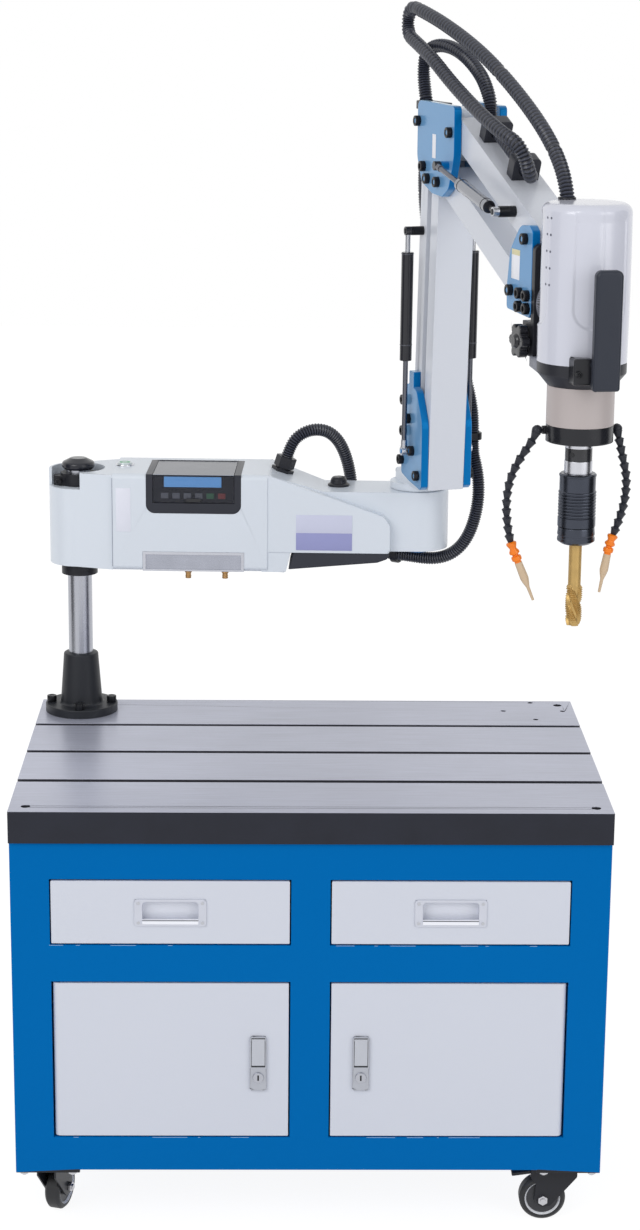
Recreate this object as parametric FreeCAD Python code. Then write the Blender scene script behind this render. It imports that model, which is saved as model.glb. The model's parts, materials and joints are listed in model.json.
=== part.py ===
"""Arm tapping machine on a wheeled tool cabinet.

Millimetres. The origin is on the floor under the centre of the cabinet, +X to the right as
seen from the drawers, +Y towards the back, +Z up. The first arm turns on a post, the second
arm turns at the first one's elbow and rises as two parallelogram linkages, and the head
hangs from the outer one. Parts of each arm are drawn in a plane of their own, with x along
the arm, and then turned into place.
"""

import FreeCAD
import Part
import math
import os

Vector = FreeCAD.Vector
Placement = FreeCAD.Placement
Rotation = FreeCAD.Rotation

# ---------------------------------------------------------------- clearances
run_gap = 0.3
pin_gap = 0.05

# ---------------------------------------------------------------- table
table_length = 900.0
table_depth = 600.0
table_thickness = 50.0
table_top = 680.0
slot_spacing = 150.0
slot_neck = 12.0
slot_neck_depth = 14.0
slot_foot_width = 21.0
slot_foot_height = 9.0
corner_hole_radius = 7.0
corner_hole_inset = 25.0
stand_inset_x = 70.0
stand_inset_y = 60.0
stand_x = table_length / 2 - stand_inset_x
stand_y = table_depth / 2 - stand_inset_y
stand_pitch_radius = 50.0
stand_hole_radius = 4.25
stand_bolts = 4

# ---------------------------------------------------------------- cabinet
side_overhang = 1.0
front_overhang = 5.0
cabinet_width = table_length - 2 * side_overhang
cabinet_depth = table_depth - 2 * front_overhang
cabinet_bottom = 100.0
sheet = 3.0
frame_depth = 25.0
partition = 24.0
shelf = 6.0
front_panel = 18.0
opening_gap = 2.0

side_stile = 60.5
drawer_inner_edge = 31.5
drawer_front_width = cabinet_width / 2 - side_stile - drawer_inner_edge
drawer_front_height = 100.0
drawer_top = 570.0
drawer_box_width = drawer_front_width - 24.0
drawer_box_depth = 470.0
drawer_box_height = 80.0
drawer_wall = 2.0
runner_height = 16.0

pull_width = 108.0
pull_height = 43.0
pull_flange = 2.0
pull_column = 12.0
pull_lip = 8.0
pull_depth = 13.0

door_inner_edge = 32.0
door_hinge_x = cabinet_width / 2 - side_stile - front_panel / 2 - 0.5
door_height = 250.0
door_top = 407.0
door_pin_radius = 3.0
door_pin_grip = 12.0
door_pin_root = 5.0

lock_x = 78.0
lock_width = 26.0
lock_height = 88.0
lock_top = 322.0
lock_stand = 4.5
paddle_width = 20.0
paddle_height = 42.0
paddle_thickness = 2.4
paddle_drop = 5.0
paddle_pin_radius = 1.1
cylinder_radius = 8.5
cylinder_drop = 66.0

# ---------------------------------------------------------------- casters
caster_inset_x = 49.0
caster_inset_y = 45.0
caster_x = cabinet_width / 2 - caster_inset_x
caster_y = cabinet_depth / 2 - caster_inset_y
pad_length = 98.0
pad_depth = 90.0
pad_drop = 5.0
stem_radius = 6.0
crown_radius = 24.0
crown_thickness = 7.0
wheel_radius = 36.0
wheel_width = 24.0
wheel_hub_width = 25.4
axle_radius = 5.0
trail = 35.0
fork_sheet = 3.0
fork_inside = 26.0
pedal_pin_x = 48.0
pedal_pin_z = 80.0
pedal_pin_radius = 2.0
pedal_barrel_radius = 4.5
pedal_reach = 36.0
caster_turns = {
    "front_left": (-1, -1, 72.0),
    "front_right": (1, -1, 180.0),
    "rear_left": (-1, 1, 200.0),
    "rear_right": (1, 1, 150.0),
}
caster_with_pedal = ("front_left", "front_right")

# ---------------------------------------------------------------- post
post_x = -stand_x
post_y = stand_y
flange_radius = 60.0
flange_thickness = 14.0
cone_foot_radius = 35.0
cone_head_radius = 28.5
cone_top = 780.0
post_radius = 20.0
stand_bolt_head_radius = 7.5
stand_bolt_head_height = 10.0
collar_radius = 30.0
collar_height = 20.0
collar_taper = 8.0
ring_radius = 29.0
ring_height = 20.0
ear_reach = 40.0
cap_radius = 27.0
cap_height = 18.0

# ---------------------------------------------------------------- first arm
first_yaw = -2.155
arm_reach = 558.4
arm_bottom = 937.0
arm_top = 1097.0
tower_radius = 48.0
tower_top = 1094.0
tower_recess_radius = 43.5
tower_recess_floor = 1066.0
box_start = 62.0
box_end = 314.0
box_front = -70.0
box_back = 83.0
box_corner = 9.0
nose_start = 405.0
nose_half_width = 50.0
nose_bottom = 970.0
nose_top = 1068.0
bulge_front = -68.0
bulge_depth = 26.0
bulge_end = 513.0
trim_back = 30.0

panel_start = 117.0
panel_end = 271.0
panel_bottom = 1033.0
panel_corner = 14.0
panel_back = 58.0
panel_skin = 6.0
panel_block = 26.0
cover_margin = 11.0
cover_sheet = 2.7
cover_bottom = 1051.0
cover_hinge_y = 51.5
cover_barrel_radius = 2.6
cover_pin_radius = 1.5

button_x = 76.0
button_y = 8.0
button_radius = 12.0
button_ring_radius = 15.0
button_ring_height = 2.0
button_stand = 3.0
button_depth = 12.0

ports_start = 111.0
ports_end = 276.0
ports_height = 32.0
ports_depth = 11.0
ports_frame = 5.0
port_positions = (185.0, 245.0)
port_radius = 4.5
port_drop = 12.0

gland_x = 335.0
gland_y = 10.0
gland_flat = 15.0
gland_length = 25.0
grommet_x = 428.0
grommet_y = 4.0
grommet_radius = 18.0
grommet_height = 15.0

# ---------------------------------------------------------------- second arm
second_yaw = -73.0
hub_radius = 46.0
hub_thickness = 11.7
elbow_shaft_radius = 17.5
elbow_nut_radius = 20.5
elbow_nut_height = 7.7

beam_width = 60.0
beam_wall = 3.0
plate_thickness = 12.0
plate_inside = beam_width / 2 + run_gap
plate_outside = plate_inside + plate_thickness
pin_radius = 6.0
pin_head_radius = 7.7
pin_head_height = 7.0

column_depth = 30.0
column_length = 470.0
column_lean = 2.75
front_foot = (112.0, 1110.0)
rear_foot = (68.0, 1195.0)
front_foot_tail = 22.0

forearm_depth = 44.0
forearm_length = 331.0
forearm_drop = 22.8
knuckle_x = front_foot[0] + column_length * math.sin(math.radians(column_lean))
knuckle_z = front_foot[1] + column_length * math.cos(math.radians(column_lean))
lower_shoulder = (knuckle_x + 43.45, knuckle_z - 1.96)
upper_shoulder = (knuckle_x + 93.45, knuckle_z + 75.04)
bracket_x = lower_shoulder[0] + forearm_length * math.cos(math.radians(forearm_drop))
bracket_z = lower_shoulder[1] - forearm_length * math.sin(math.radians(forearm_drop))
guide_height = 13.0
guide_point = (knuckle_x - 88.05, -16.0, knuckle_z + 117.54)

clamp_stations = (68.0, 188.0)
clamp_width = 42.0
clamp_length = 22.0
clamp_height = 33.0
clamp_rise = 16.0

# ---------------------------------------------------------------- gas springs
spring_side = 55.0
spring_eye_radius = 7.0
spring_eye_half_width = 5.0
spring_stud_radius = 4.0
spring_boss_radius = 7.0
spring_rod_radius = 4.0
spring_tube_radius = 9.5
spring_bore_radius = 7.0
column_spring_station = 300.0
column_spring_foot = (80.0, 1145.0)
column_spring_tube = 171.0
column_spring_neck = 33.0
column_spring_rod_inside = 100.0
forearm_spring_station = 250.0
forearm_spring_anchor = (knuckle_x + 83.45, knuckle_z + 25.54)
forearm_spring_tube = 120.0
forearm_spring_neck = 24.0
forearm_spring_rod_inside = 62.0
forearm_spring_side = 60.0

# ---------------------------------------------------------------- head
carrier_back = bracket_x + 73.36
carrier_thickness = 12.0
carrier_height = 158.0
carrier_bottom = bracket_z - 85.23
carrier_top = carrier_bottom + carrier_height
swivel_height = bracket_z - 9.23
swivel_radius = 10.0
swivel_start = carrier_back - 26.5
saddle_radius = 40.0
saddle_end = carrier_back + 31.5
head_reach = carrier_back + 86.5
cover_radius = 62.0
cover_height = 218.0
cover_foot = swivel_height - 71.0
cover_top = cover_foot + cover_height
cover_edge = 14.0
cover_bulge = 1.0
vent_rows = 5
vent_radius = 1.8
vent_pitch = 17.5
vent_low = cover_foot + 81.0
gearbox_radius = 47.0
gearbox_height = 55.0
collar_band = 15.0
collar_cone = 18.0
gearbox_cone_top = cover_foot - collar_band
gearbox_top = gearbox_cone_top - collar_cone
gearbox_foot = gearbox_top - gearbox_height
gear_ring_height = 24.0
ring_foot = gearbox_foot - gear_ring_height
nose_radius = 19.0
nose_length = 45.0
nose_foot = ring_foot - nose_length
chuck_length = 100.0
chuck_foot = nose_foot - chuck_length
chuck_radius = 25.0
chuck_lip_radius = 26.5
chuck_rib_pitch = 5.0
chuck_ribs = 8
sleeve_length = 24.0
sleeve_top = chuck_foot + sleeve_length
sleeve_travel = 5.0
spindle_radius = 12.0
tap_reach = 119.0
tap_thread_length = 54.0
tap_tip = chuck_foot - tap_reach
tap_thread_top = tap_tip + tap_thread_length
tap_thread_radius = 12.0
tap_shank_radius = 9.0
tap_flutes = 3
knob_centre = (carrier_back - 13.5, carrier_bottom + 21.0)
knob_radius = 25.0
knob_lobes = 6
grip_reach = head_reach + 85.0
grip_depth = 17.0
grip_width = 38.0
grip_length = 163.0
grip_foot = cover_foot - 28.0
grip_top = grip_foot + grip_length
gland_point = (head_reach - 42.0, -12.0, cover_top + 8.0)

# ---------------------------------------------------------------- conduit and hoses
conduit_radius = 10.5
clip_gap = 0.3
arm_conduit_route = [
    (342.621, 10.001, 1114.220), (349.727, 10.001, 1136.520), (365.666, 15.761, 1152.000),
    (387.331, 25.083, 1158.000), (409.882, 37.439, 1152.500), (427.418, 50.108, 1134.000),
    (439.071, 59.553, 1107.000), (446.340, 65.830, 1076.000), (449.706, 69.459, 1042.000),
    (451.648, 71.034, 1008.000), (457.182, 70.241, 978.000), (467.881, 65.140, 957.500),
    (483.190, 57.210, 948.500), (503.609, 46.470, 947.500), (525.083, 34.269, 947.500)]
elbow_conduit_route = [
    (525.083, 34.269, 947.500), (546.557, 22.068, 947.500), (568.992, 10.904, 946.500),
    (591.409, 0.239, 948.500), (612.770, -8.964, 957.000), (630.578, -16.800, 973.500),
    (643.332, -23.325, 996.500), (651.514, -28.021, 1024.000), (656.124, -30.850, 1053.000),
    (656.162, -31.849, 1082.000), (652.153, -31.700, 1109.000), (645.113, -30.223, 1134.000),
    (645.113, -30.223, 1160.000)]
column_conduit_route = [
    (57.000, 72.000, 1160.000), (57.000, 72.000, 1186.000), (53.500, 69.000, 1215.000),
    (47.500, 62.500, 1249.000), (39.500, 52.500, 1289.000), (31.000, 41.000, 1332.000),
    (23.500, 29.000, 1377.000), (18.000, 17.500, 1422.000), (15.500, 7.000, 1468.000),
    (17.500, -2.500, 1516.000), (27.000, -9.000, 1560.000), (41.500, -13.500, 1597.000),
    (54.500, -15.500, 1629.000), (62.500, -16.000, 1660.400), guide_point]
arch_conduit_route = [
    (guide_point[0] - 0.020, guide_point[1], guide_point[2] + 0.046), (36.867, -16.000, 1719.036),
    (31.500, -15.500, 1742.000), (36.000, -14.500, 1759.500), (53.000, -13.500, 1771.500),
    (78.000, -12.000, 1777.500), (112.000, -10.000, 1778.500), (150.000, -8.000, 1774.500),
    (188.000, -6.000, 1765.000), (224.000, -4.000, 1750.500), (250.000, -1.000, 1733.500),
    (265.500, 1.000, 1715.000), (271.800, 2.500, 1701.500), (273.600, 2.500, 1690.400),
    (276.800, 1.000, 1680.100), (283.900, 0.000, 1672.170), (294.254, 0.000, 1667.819)]
loop_conduit_route = [
    (294.300, 0.000, 1667.800), (444.100, 0.000, 1604.850), (459.000, -8.000, 1607.000),
    (470.600, -15.800, 1616.500), (475.600, -22.200, 1630.600), (472.700, -28.500, 1645.200),
    (462.700, -34.800, 1656.300), (436.700, -40.000, 1663.700), (388.500, -42.500, 1677.000),
    (305.400, -40.000, 1699.000), (214.770, -38.959, 1728.227), (141.515, -41.516, 1760.011),
    (68.068, -36.196, 1777.458), (29.068, -33.696, 1786.258), (12.468, -31.996, 1790.058),
    (3.468, -31.496, 1798.158), (-0.432, -31.096, 1809.558), (1.200, -30.600, 1819.900),
    (8.200, -30.300, 1829.600), (20.950, -29.310, 1834.770), (44.668, -29.196, 1831.058)]
drop_conduit_route = [
    (44.717, -29.196, 1831.050), (83.340, -29.010, 1825.005), (148.398, -26.700, 1811.800),
    (225.675, -21.900, 1791.218), (302.953, -18.563, 1767.405), (369.448, -15.622, 1741.414),
    (430.000, -14.000, 1716.000), (486.000, -13.500, 1690.500), (531.000, -13.000, 1666.000),
    (564.000, -12.500, 1642.500), (587.000, -12.000, 1619.000), gland_point]

hose_wide_radius = 7.8
hose_narrow_radius = 4.6
hose_ball_radius = 7.4
left_hose_route = [
    (-16.0, -57.0, 15.0), (-17.5, -62.0, 1.5), (-20.5, -69.5, -11.0), (-23.0, -77.5, -24.0),
    (-25.5, -84.5, -38.0), (-27.5, -90.0, -53.0), (-28.3, -93.0, -68.0), (-28.8, -94.4, -83.0),
    (-29.0, -94.4, -98.0), (-28.6, -93.2, -113.0), (-27.7, -91.0, -128.5), (-26.7, -87.5, -144.0)]
left_hose_tip = [
    (-24.7, -81.1, -162.0), (-21.8, -71.7, -186.0), (-16.7, -55.1, -228.0)]
right_hose_route = [
    (2.0, 56.0, 15.0), (7.5, 57.3, 1.0), (12.0, 58.8, -13.0), (15.5, 61.0, -27.0),
    (18.3, 63.8, -41.5), (19.7, 65.2, -56.5), (19.9, 64.8, -71.5), (19.4, 63.0, -87.0),
    (18.3, 59.8, -102.0), (16.8, 55.5, -117.0), (15.2, 50.2, -132.5)]
right_hose_tip = [
    (13.9, 45.0, -149.0), (12.5, 41.0, -174.0), (10.4, 33.8, -216.0)]


# ================================================================ drawing helpers
def box(x0, x1, y0, y1, z0, z1):
    return Part.makeBox(x1 - x0, y1 - y0, z1 - z0, Vector(x0, y0, z0))


def side_box(side, x0, x1, y0, y1, z0, z1):
    """A box given for the right half, or mirrored for the left half."""
    if side < 0:
        return box(-x1, -x0, y0, y1, z0, z1)
    return box(x0, x1, y0, y1, z0, z1)


def rod(radius, start, end):
    start = Vector(*start)
    span = Vector(*end) - start
    return Part.makeCylinder(radius, span.Length, start, span)


def cone(r0, r1, start, end):
    start = Vector(*start)
    span = Vector(*end) - start
    return Part.makeCone(r0, r1, span.Length, start, span)


def rounded_edges(points, radii, closed):
    """Straight runs joined by tangent arcs. A radius of 0 keeps the corner."""
    count = len(points)
    entries = []
    for i, point in enumerate(points):
        inner = closed or 0 < i < count - 1
        if not inner or radii[i] <= 0:
            entries.append((point, point, None))
            continue
        back = (points[i - 1] - point).normalize()
        ahead = (points[(i + 1) % count] - point).normalize()
        half = back.getAngle(ahead) / 2
        reach = radii[i] / math.tan(half)
        bisector = (back + ahead).normalize()
        middle = point + bisector * (radii[i] / math.sin(half) - radii[i])
        entries.append((point + back * reach, point + ahead * reach, middle))
    edges = []
    for i, (start, end, middle) in enumerate(entries):
        if middle is not None:
            edges.append(Part.Arc(start, middle, end).toShape())
        if i == count - 1 and not closed:
            break
        following = entries[(i + 1) % count][0]
        if end.distanceToPoint(following) > 1e-6:
            edges.append(Part.LineSegment(end, following).toShape())
    return edges


def prism(outline, plane, low, high):
    """Extrude an outline of (a, b) or (a, b, corner radius) points.

    The plane "xz" is extruded along y, "xy" along z and "yz" along x.
    """
    places = {
        "xz": lambda a, b: Vector(a, low, b),
        "xy": lambda a, b: Vector(a, b, low),
        "yz": lambda a, b: Vector(low, a, b),
    }
    direction = {"xz": Vector(0, 1, 0), "xy": Vector(0, 0, 1), "yz": Vector(1, 0, 0)}[plane]
    points = [places[plane](p[0], p[1]) for p in outline]
    radii = [p[2] if len(p) > 2 else 0 for p in outline]
    wire = Part.Wire(rounded_edges(points, radii, True))
    return Part.Face(wire).extrude(direction * (high - low))


def lathe(profile, x=0.0, y=0.0):
    """Revolve an outline of (radius, z) points about the vertical line at x, y."""
    points = [Vector(x + p[0], y, p[1]) for p in profile]
    radii = [p[2] if len(p) > 2 else 0 for p in profile]
    face = Part.Face(Part.Wire(rounded_edges(points, radii, True)))
    return face.revolve(Vector(x, y, 0), Vector(0, 0, 1), 360)


def fuse(*shapes):
    return shapes[0].multiFuse(list(shapes[1:])).removeSplitter()


def first_arm(shape):
    """Turn a shape drawn along the first arm about the post into its place."""
    placed = shape.copy()
    placed.rotate(Vector(0, 0, 0), Vector(0, 0, 1), first_yaw)
    placed.translate(Vector(post_x, post_y, 0))
    return placed


def elbow_point():
    yaw = math.radians(first_yaw)
    return Vector(post_x + arm_reach * math.cos(yaw), post_y + arm_reach * math.sin(yaw), 0)


def second_arm(shape):
    """Turn a shape drawn along the second arm about the elbow into its place."""
    placed = shape.copy()
    placed.rotate(Vector(0, 0, 0), Vector(0, 0, 1), second_yaw)
    placed.translate(elbow_point())
    return placed


def along(point, tilt, distance, offset=0.0):
    """A point at a distance along a line and an offset to its upper side, in the arm plane.

    The tilt is the line's angle above the horizontal, in degrees.
    """
    angle = math.radians(tilt)
    return (point[0] + distance * math.cos(angle) - offset * math.sin(angle),
            point[1] + distance * math.sin(angle) + offset * math.cos(angle))


def tilted(shape, point, tilt):
    """Lay a shape drawn about the origin along +x at a point of the arm plane."""
    placed = shape.copy()
    placed.rotate(Vector(0, 0, 0), Vector(0, 1, 0), -tilt)
    placed.translate(Vector(point[0], 0, point[1]))
    return placed


# ================================================================ table and cabinet
def ring_of_holes(x, y, radius, low, high):
    holes = []
    for i in range(stand_bolts):
        angle = 2 * math.pi * i / stand_bolts
        hx = x + stand_pitch_radius * math.cos(angle)
        hy = y + stand_pitch_radius * math.sin(angle)
        holes.append(rod(radius, (hx, hy, low), (hx, hy, high)))
    return holes


def table_plate():
    half_x = table_length / 2
    half_y = table_depth / 2
    bottom = table_top - table_thickness
    plate = box(-half_x, half_x, -half_y, half_y, bottom, table_top)
    cuts = []
    for row in (-1, 0, 1):
        y = row * slot_spacing
        neck_floor = table_top - slot_neck_depth
        cuts.append(box(-half_x - 1, half_x + 1, y - slot_neck / 2, y + slot_neck / 2,
                        neck_floor, table_top + 1))
        cuts.append(box(-half_x - 1, half_x + 1, y - slot_foot_width / 2, y + slot_foot_width / 2,
                        neck_floor - slot_foot_height, neck_floor))
    for sx in (-1, 1):
        for sy in (-1, 1):
            x = sx * (half_x - corner_hole_inset)
            y = sy * (half_y - corner_hole_inset)
            cuts.append(rod(corner_hole_radius, (x, y, bottom - 1), (x, y, table_top + 1)))
    cuts += ring_of_holes(stand_x, stand_y, stand_hole_radius, bottom - 1, table_top + 1)
    return plate.cut(cuts)


def drawer_centre():
    return drawer_inner_edge + drawer_front_width / 2


def cabinet_frame():
    front = -cabinet_depth / 2
    back = cabinet_depth / 2
    half = cabinet_width / 2
    top = table_top - table_thickness
    drawer_low = drawer_top - drawer_front_height - opening_gap
    door_low = door_top - door_height - opening_gap
    shelf_low = (door_top + opening_gap + drawer_low - shelf) / 2
    door_far = door_hinge_x + front_panel / 2 + opening_gap
    drawer_far = drawer_inner_edge + drawer_front_width + opening_gap
    body = box(-half, half, front, back, cabinet_bottom, top)
    cuts = []
    adds = []
    for side in (-1, 1):
        inner = (partition / 2, half - sheet, front + frame_depth, back - sheet)
        cuts.append(side_box(side, *inner, cabinet_bottom + sheet, shelf_low))
        cuts.append(side_box(side, *inner, shelf_low + shelf, top - sheet))
        cuts.append(side_box(side, door_inner_edge - opening_gap, door_far,
                             front - 1, front + frame_depth, door_low, door_top + opening_gap))
        cuts.append(side_box(side, drawer_inner_edge - opening_gap, drawer_far,
                             front - 1, front + frame_depth, drawer_low, drawer_top + opening_gap))
        rail_z = drawer_top - drawer_front_height / 2 - runner_height / 2
        rail_end = front + frame_depth + drawer_box_depth
        near_side = drawer_centre() - drawer_box_width / 2 - run_gap
        far_side = drawer_centre() + drawer_box_width / 2 + run_gap
        for x0, x1 in ((partition / 2, near_side), (far_side, half - sheet)):
            adds.append(side_box(side, x0, x1, front + frame_depth, rail_end,
                                 rail_z, rail_z + runner_height))
        pin_y = front + front_panel / 2
        pin_x = side * door_hinge_x
        adds.append(rod(door_pin_radius, (pin_x, pin_y, door_low - door_pin_root),
                        (pin_x, pin_y, door_low + opening_gap + door_pin_grip)))
        adds.append(rod(door_pin_radius, (pin_x, pin_y, door_top - door_pin_grip),
                        (pin_x, pin_y, door_top + opening_gap + door_pin_root)))
    body = body.cut(cuts)
    for sx in (-1, 1):
        for sy in (-1, 1):
            x_edge = sx * half
            y_edge = sy * cabinet_depth / 2
            x0, x1 = sorted((x_edge, x_edge - sx * pad_length))
            y0, y1 = sorted((y_edge, y_edge - sy * pad_depth))
            adds.append(box(x0, x1, y0, y1, cabinet_bottom - pad_drop, cabinet_bottom + sheet))
    body = fuse(body, *adds)
    stems = []
    for sx in (-1, 1):
        for sy in (-1, 1):
            stems.append(rod(stem_radius + pin_gap, (sx * caster_x, sy * caster_y, 0),
                             (sx * caster_x, sy * caster_y, cabinet_bottom + sheet + 1)))
    return body.cut(stems)


def drawer(side):
    front = -cabinet_depth / 2
    centre = drawer_centre()
    low = drawer_top - drawer_front_height
    panel = side_box(side, drawer_inner_edge, drawer_inner_edge + drawer_front_width,
                     front, front + front_panel, low, drawer_top)
    half = drawer_box_width / 2
    floor = drawer_top - drawer_front_height / 2 - drawer_box_height / 2
    back = front + front_panel + drawer_box_depth
    tray = side_box(side, centre - half, centre + half, front + front_panel, back,
                    floor, floor + drawer_box_height)
    inside = side_box(side, centre - half + drawer_wall, centre + half - drawer_wall,
                      front + front_panel, back - drawer_wall,
                      floor + drawer_wall, floor + drawer_box_height + 1)
    tub_half = pull_width / 2 - pull_flange + run_gap
    tub_high = pull_height / 2 - pull_flange + run_gap
    middle = drawer_top - drawer_front_height / 2
    pocket = side_box(side, centre - tub_half, centre + tub_half, front - 1,
                      front + pull_depth + run_gap, middle - tub_high, middle + tub_high)
    return fuse(panel, tray.cut(inside)).cut(pocket)


def drawer_pull(side):
    front = -cabinet_depth / 2
    x = side * drawer_centre()
    z = drawer_top - drawer_front_height / 2
    half_w = pull_width / 2
    half_h = pull_height / 2
    flange = prism([(x - half_w, z - half_h, 5), (x + half_w, z - half_h, 5),
                    (x + half_w, z + half_h, 5), (x - half_w, z + half_h, 5)],
                   "xz", front - pull_flange, front)
    tub = box(x - half_w + pull_flange, x + half_w - pull_flange, front, front + pull_depth,
              z - half_h + pull_flange, z + half_h - pull_flange)
    hollow = prism([(x - half_w + pull_column, z - half_h + pull_flange * 2),
                    (x + half_w - pull_column, z - half_h + pull_flange * 2),
                    (x + half_w - pull_column, z + half_h - pull_flange * 2, 6),
                    (x - half_w + pull_column, z + half_h - pull_flange * 2, 6)],
                   "xz", front - pull_flange - 1, front + pull_depth - pull_flange)
    lip = box(x - half_w + pull_column, x + half_w - pull_column, front - pull_flange * 2,
              front + pull_flange, z - half_h + pull_flange * 2,
              z - half_h + pull_flange * 2 + pull_lip)
    return fuse(fuse(flange, tub).cut(hollow), lip)


def door(side):
    front = -cabinet_depth / 2
    low = door_top - door_height
    axis_y = front + front_panel / 2
    leaf = side_box(side, door_inner_edge, door_hinge_x, front, front + front_panel, low, door_top)
    edge = rod(front_panel / 2, (side * door_hinge_x, axis_y, low),
               (side * door_hinge_x, axis_y, door_top))
    lock_left = side * lock_x - lock_width / 2
    lock_right = side * lock_x + lock_width / 2
    lock_low = lock_top - lock_height
    housing = prism([(lock_left, lock_low, 5), (lock_right, lock_low, 5),
                     (lock_right, lock_top, 5), (lock_left, lock_top, 5)],
                    "xz", front - lock_stand, front + 1)
    half_paddle = paddle_width / 2 + run_gap
    recess_top = lock_top - paddle_drop + paddle_thickness
    recess = box(side * lock_x - half_paddle, side * lock_x + half_paddle,
                 front - lock_stand - 1, front - lock_stand + paddle_thickness + 1.2,
                 recess_top - paddle_height - 2 * paddle_thickness, recess_top)
    paddle_y = front - lock_stand + paddle_thickness / 2 + run_gap
    paddle_z = lock_top - paddle_drop
    reach = lock_width / 2 - 1.5
    pin_hole = rod(paddle_pin_radius + pin_gap, (side * lock_x - reach, paddle_y, paddle_z),
                   (side * lock_x + reach, paddle_y, paddle_z))
    key_z = lock_top - cylinder_drop
    key = rod(cylinder_radius, (side * lock_x, front, key_z),
              (side * lock_x, front - lock_stand - 3, key_z))
    slot = box(side * lock_x - 0.8, side * lock_x + 0.8, front - lock_stand - 4,
               front - lock_stand, key_z - 4, key_z + 4)
    bores = []
    for z0, z1 in ((low - 1, low + door_pin_grip + run_gap),
                   (door_top - door_pin_grip - run_gap, door_top + 1)):
        bores.append(rod(door_pin_radius + pin_gap, (side * door_hinge_x, axis_y, z0),
                         (side * door_hinge_x, axis_y, z1)))
    return fuse(leaf, edge, housing, key).cut([recess, pin_hole, slot] + bores)


def lock_paddle(side):
    front = -cabinet_depth / 2
    x = side * lock_x
    y = front - lock_stand + paddle_thickness / 2 + run_gap
    z = lock_top - paddle_drop
    half = paddle_width / 2
    thick = paddle_thickness / 2
    leaf = box(x - half, x + half, y - thick, y + thick, z - paddle_height, z)
    roll = rod(thick, (x - half, y, z), (x + half, y, z))
    reach = lock_width / 2 - 1.5 - run_gap
    pin = rod(paddle_pin_radius, (x - reach, y, z), (x + reach, y, z))
    return fuse(leaf, roll, pin)


# ================================================================ casters
def placed_caster(shape, name):
    side_x, side_y, turn = caster_turns[name]
    placed = shape.copy()
    placed.rotate(Vector(0, 0, 0), Vector(0, 0, 1), turn)
    placed.translate(Vector(side_x * caster_x, side_y * caster_y, 0))
    return placed


def caster_fork(name):
    crown_top = cabinet_bottom - pad_drop - run_gap
    crown_low = crown_top - crown_thickness
    crown = rod(crown_radius, (0, 0, crown_low), (0, 0, crown_top))
    stem = rod(stem_radius, (0, 0, crown_low), (0, 0, cabinet_bottom + sheet))
    inside = fork_inside / 2
    outside = inside + fork_sheet
    bridge = box(-18, pedal_pin_x - 10, -outside, outside, crown_low - 3, crown_low)
    pieces = [crown, stem, bridge]
    cheek = [(-18, crown_low), (-18, crown_low - 14, 6), (trail - 12, wheel_radius - 11, 8),
             (trail + 4, wheel_radius - 13, 8), (trail + 13, wheel_radius + 2, 8),
             (trail + 11, crown_low - 26, 6), (pedal_pin_x + 7, pedal_pin_z - 6, 5),
             (pedal_pin_x + 6, crown_low, 4)]
    for side in (-1, 1):
        y0, y1 = sorted((side * inside, side * outside))
        pieces.append(prism(cheek, "xz", y0, y1))
    pieces.append(rod(axle_radius, (trail, -outside - 4, wheel_radius),
                      (trail, outside + 4, wheel_radius)))
    if name in caster_with_pedal:
        pieces.append(rod(pedal_pin_radius, (pedal_pin_x, -outside, pedal_pin_z),
                          (pedal_pin_x, outside, pedal_pin_z)))
    return placed_caster(fuse(*pieces), name)


def caster_wheel(name):
    half = wheel_width / 2
    hub = wheel_hub_width / 2
    tread = [(0, -hub), (13, -hub), (14, -half + 3), (25, -half + 3), (27, -half),
             (wheel_radius - 4, -half), (wheel_radius, -half + 4),
             (wheel_radius, half - 4), (wheel_radius - 4, half), (27, half),
             (25, half - 3), (14, half - 3), (13, hub), (0, hub)]
    wheel = lathe(tread)
    wheel = wheel.cut(rod(axle_radius + pin_gap, (0, 0, -hub - 1), (0, 0, hub + 1)))
    wheel.rotate(Vector(0, 0, 0), Vector(1, 0, 0), 90)
    wheel.translate(Vector(trail, 0, wheel_radius))
    return placed_caster(wheel, name)


def caster_pedal(name):
    half = fork_inside / 2 - run_gap
    barrel = rod(pedal_barrel_radius, (pedal_pin_x, -half, pedal_pin_z),
                 (pedal_pin_x, half, pedal_pin_z))
    blade = prism([(pedal_pin_x, pedal_pin_z - 1), (pedal_pin_x + pedal_reach, pedal_pin_z - 6, 2),
                   (pedal_pin_x + pedal_reach, pedal_pin_z - 1, 2), (pedal_pin_x, pedal_pin_z + 4)],
                  "xz", -half, half)
    hole = rod(pedal_pin_radius + pin_gap, (pedal_pin_x, -half - 1, pedal_pin_z),
               (pedal_pin_x, half + 1, pedal_pin_z))
    return placed_caster(fuse(barrel, blade).cut(hole), name)


# ================================================================ post
def pillar_post():
    profile = [(0, table_top), (flange_radius, table_top, 0),
               (flange_radius, table_top + flange_thickness, 2),
               (cone_foot_radius, table_top + flange_thickness, 5),
               (cone_head_radius, cone_top, 3), (post_radius, cone_top + 2),
               (post_radius, tower_top - 2), (0, tower_top - 2)]
    post = lathe(profile, post_x, post_y)
    heads = ring_of_holes(post_x, post_y, stand_bolt_head_radius, table_top + flange_thickness,
                          table_top + flange_thickness + stand_bolt_head_height)
    return fuse(post, *heads)


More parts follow.
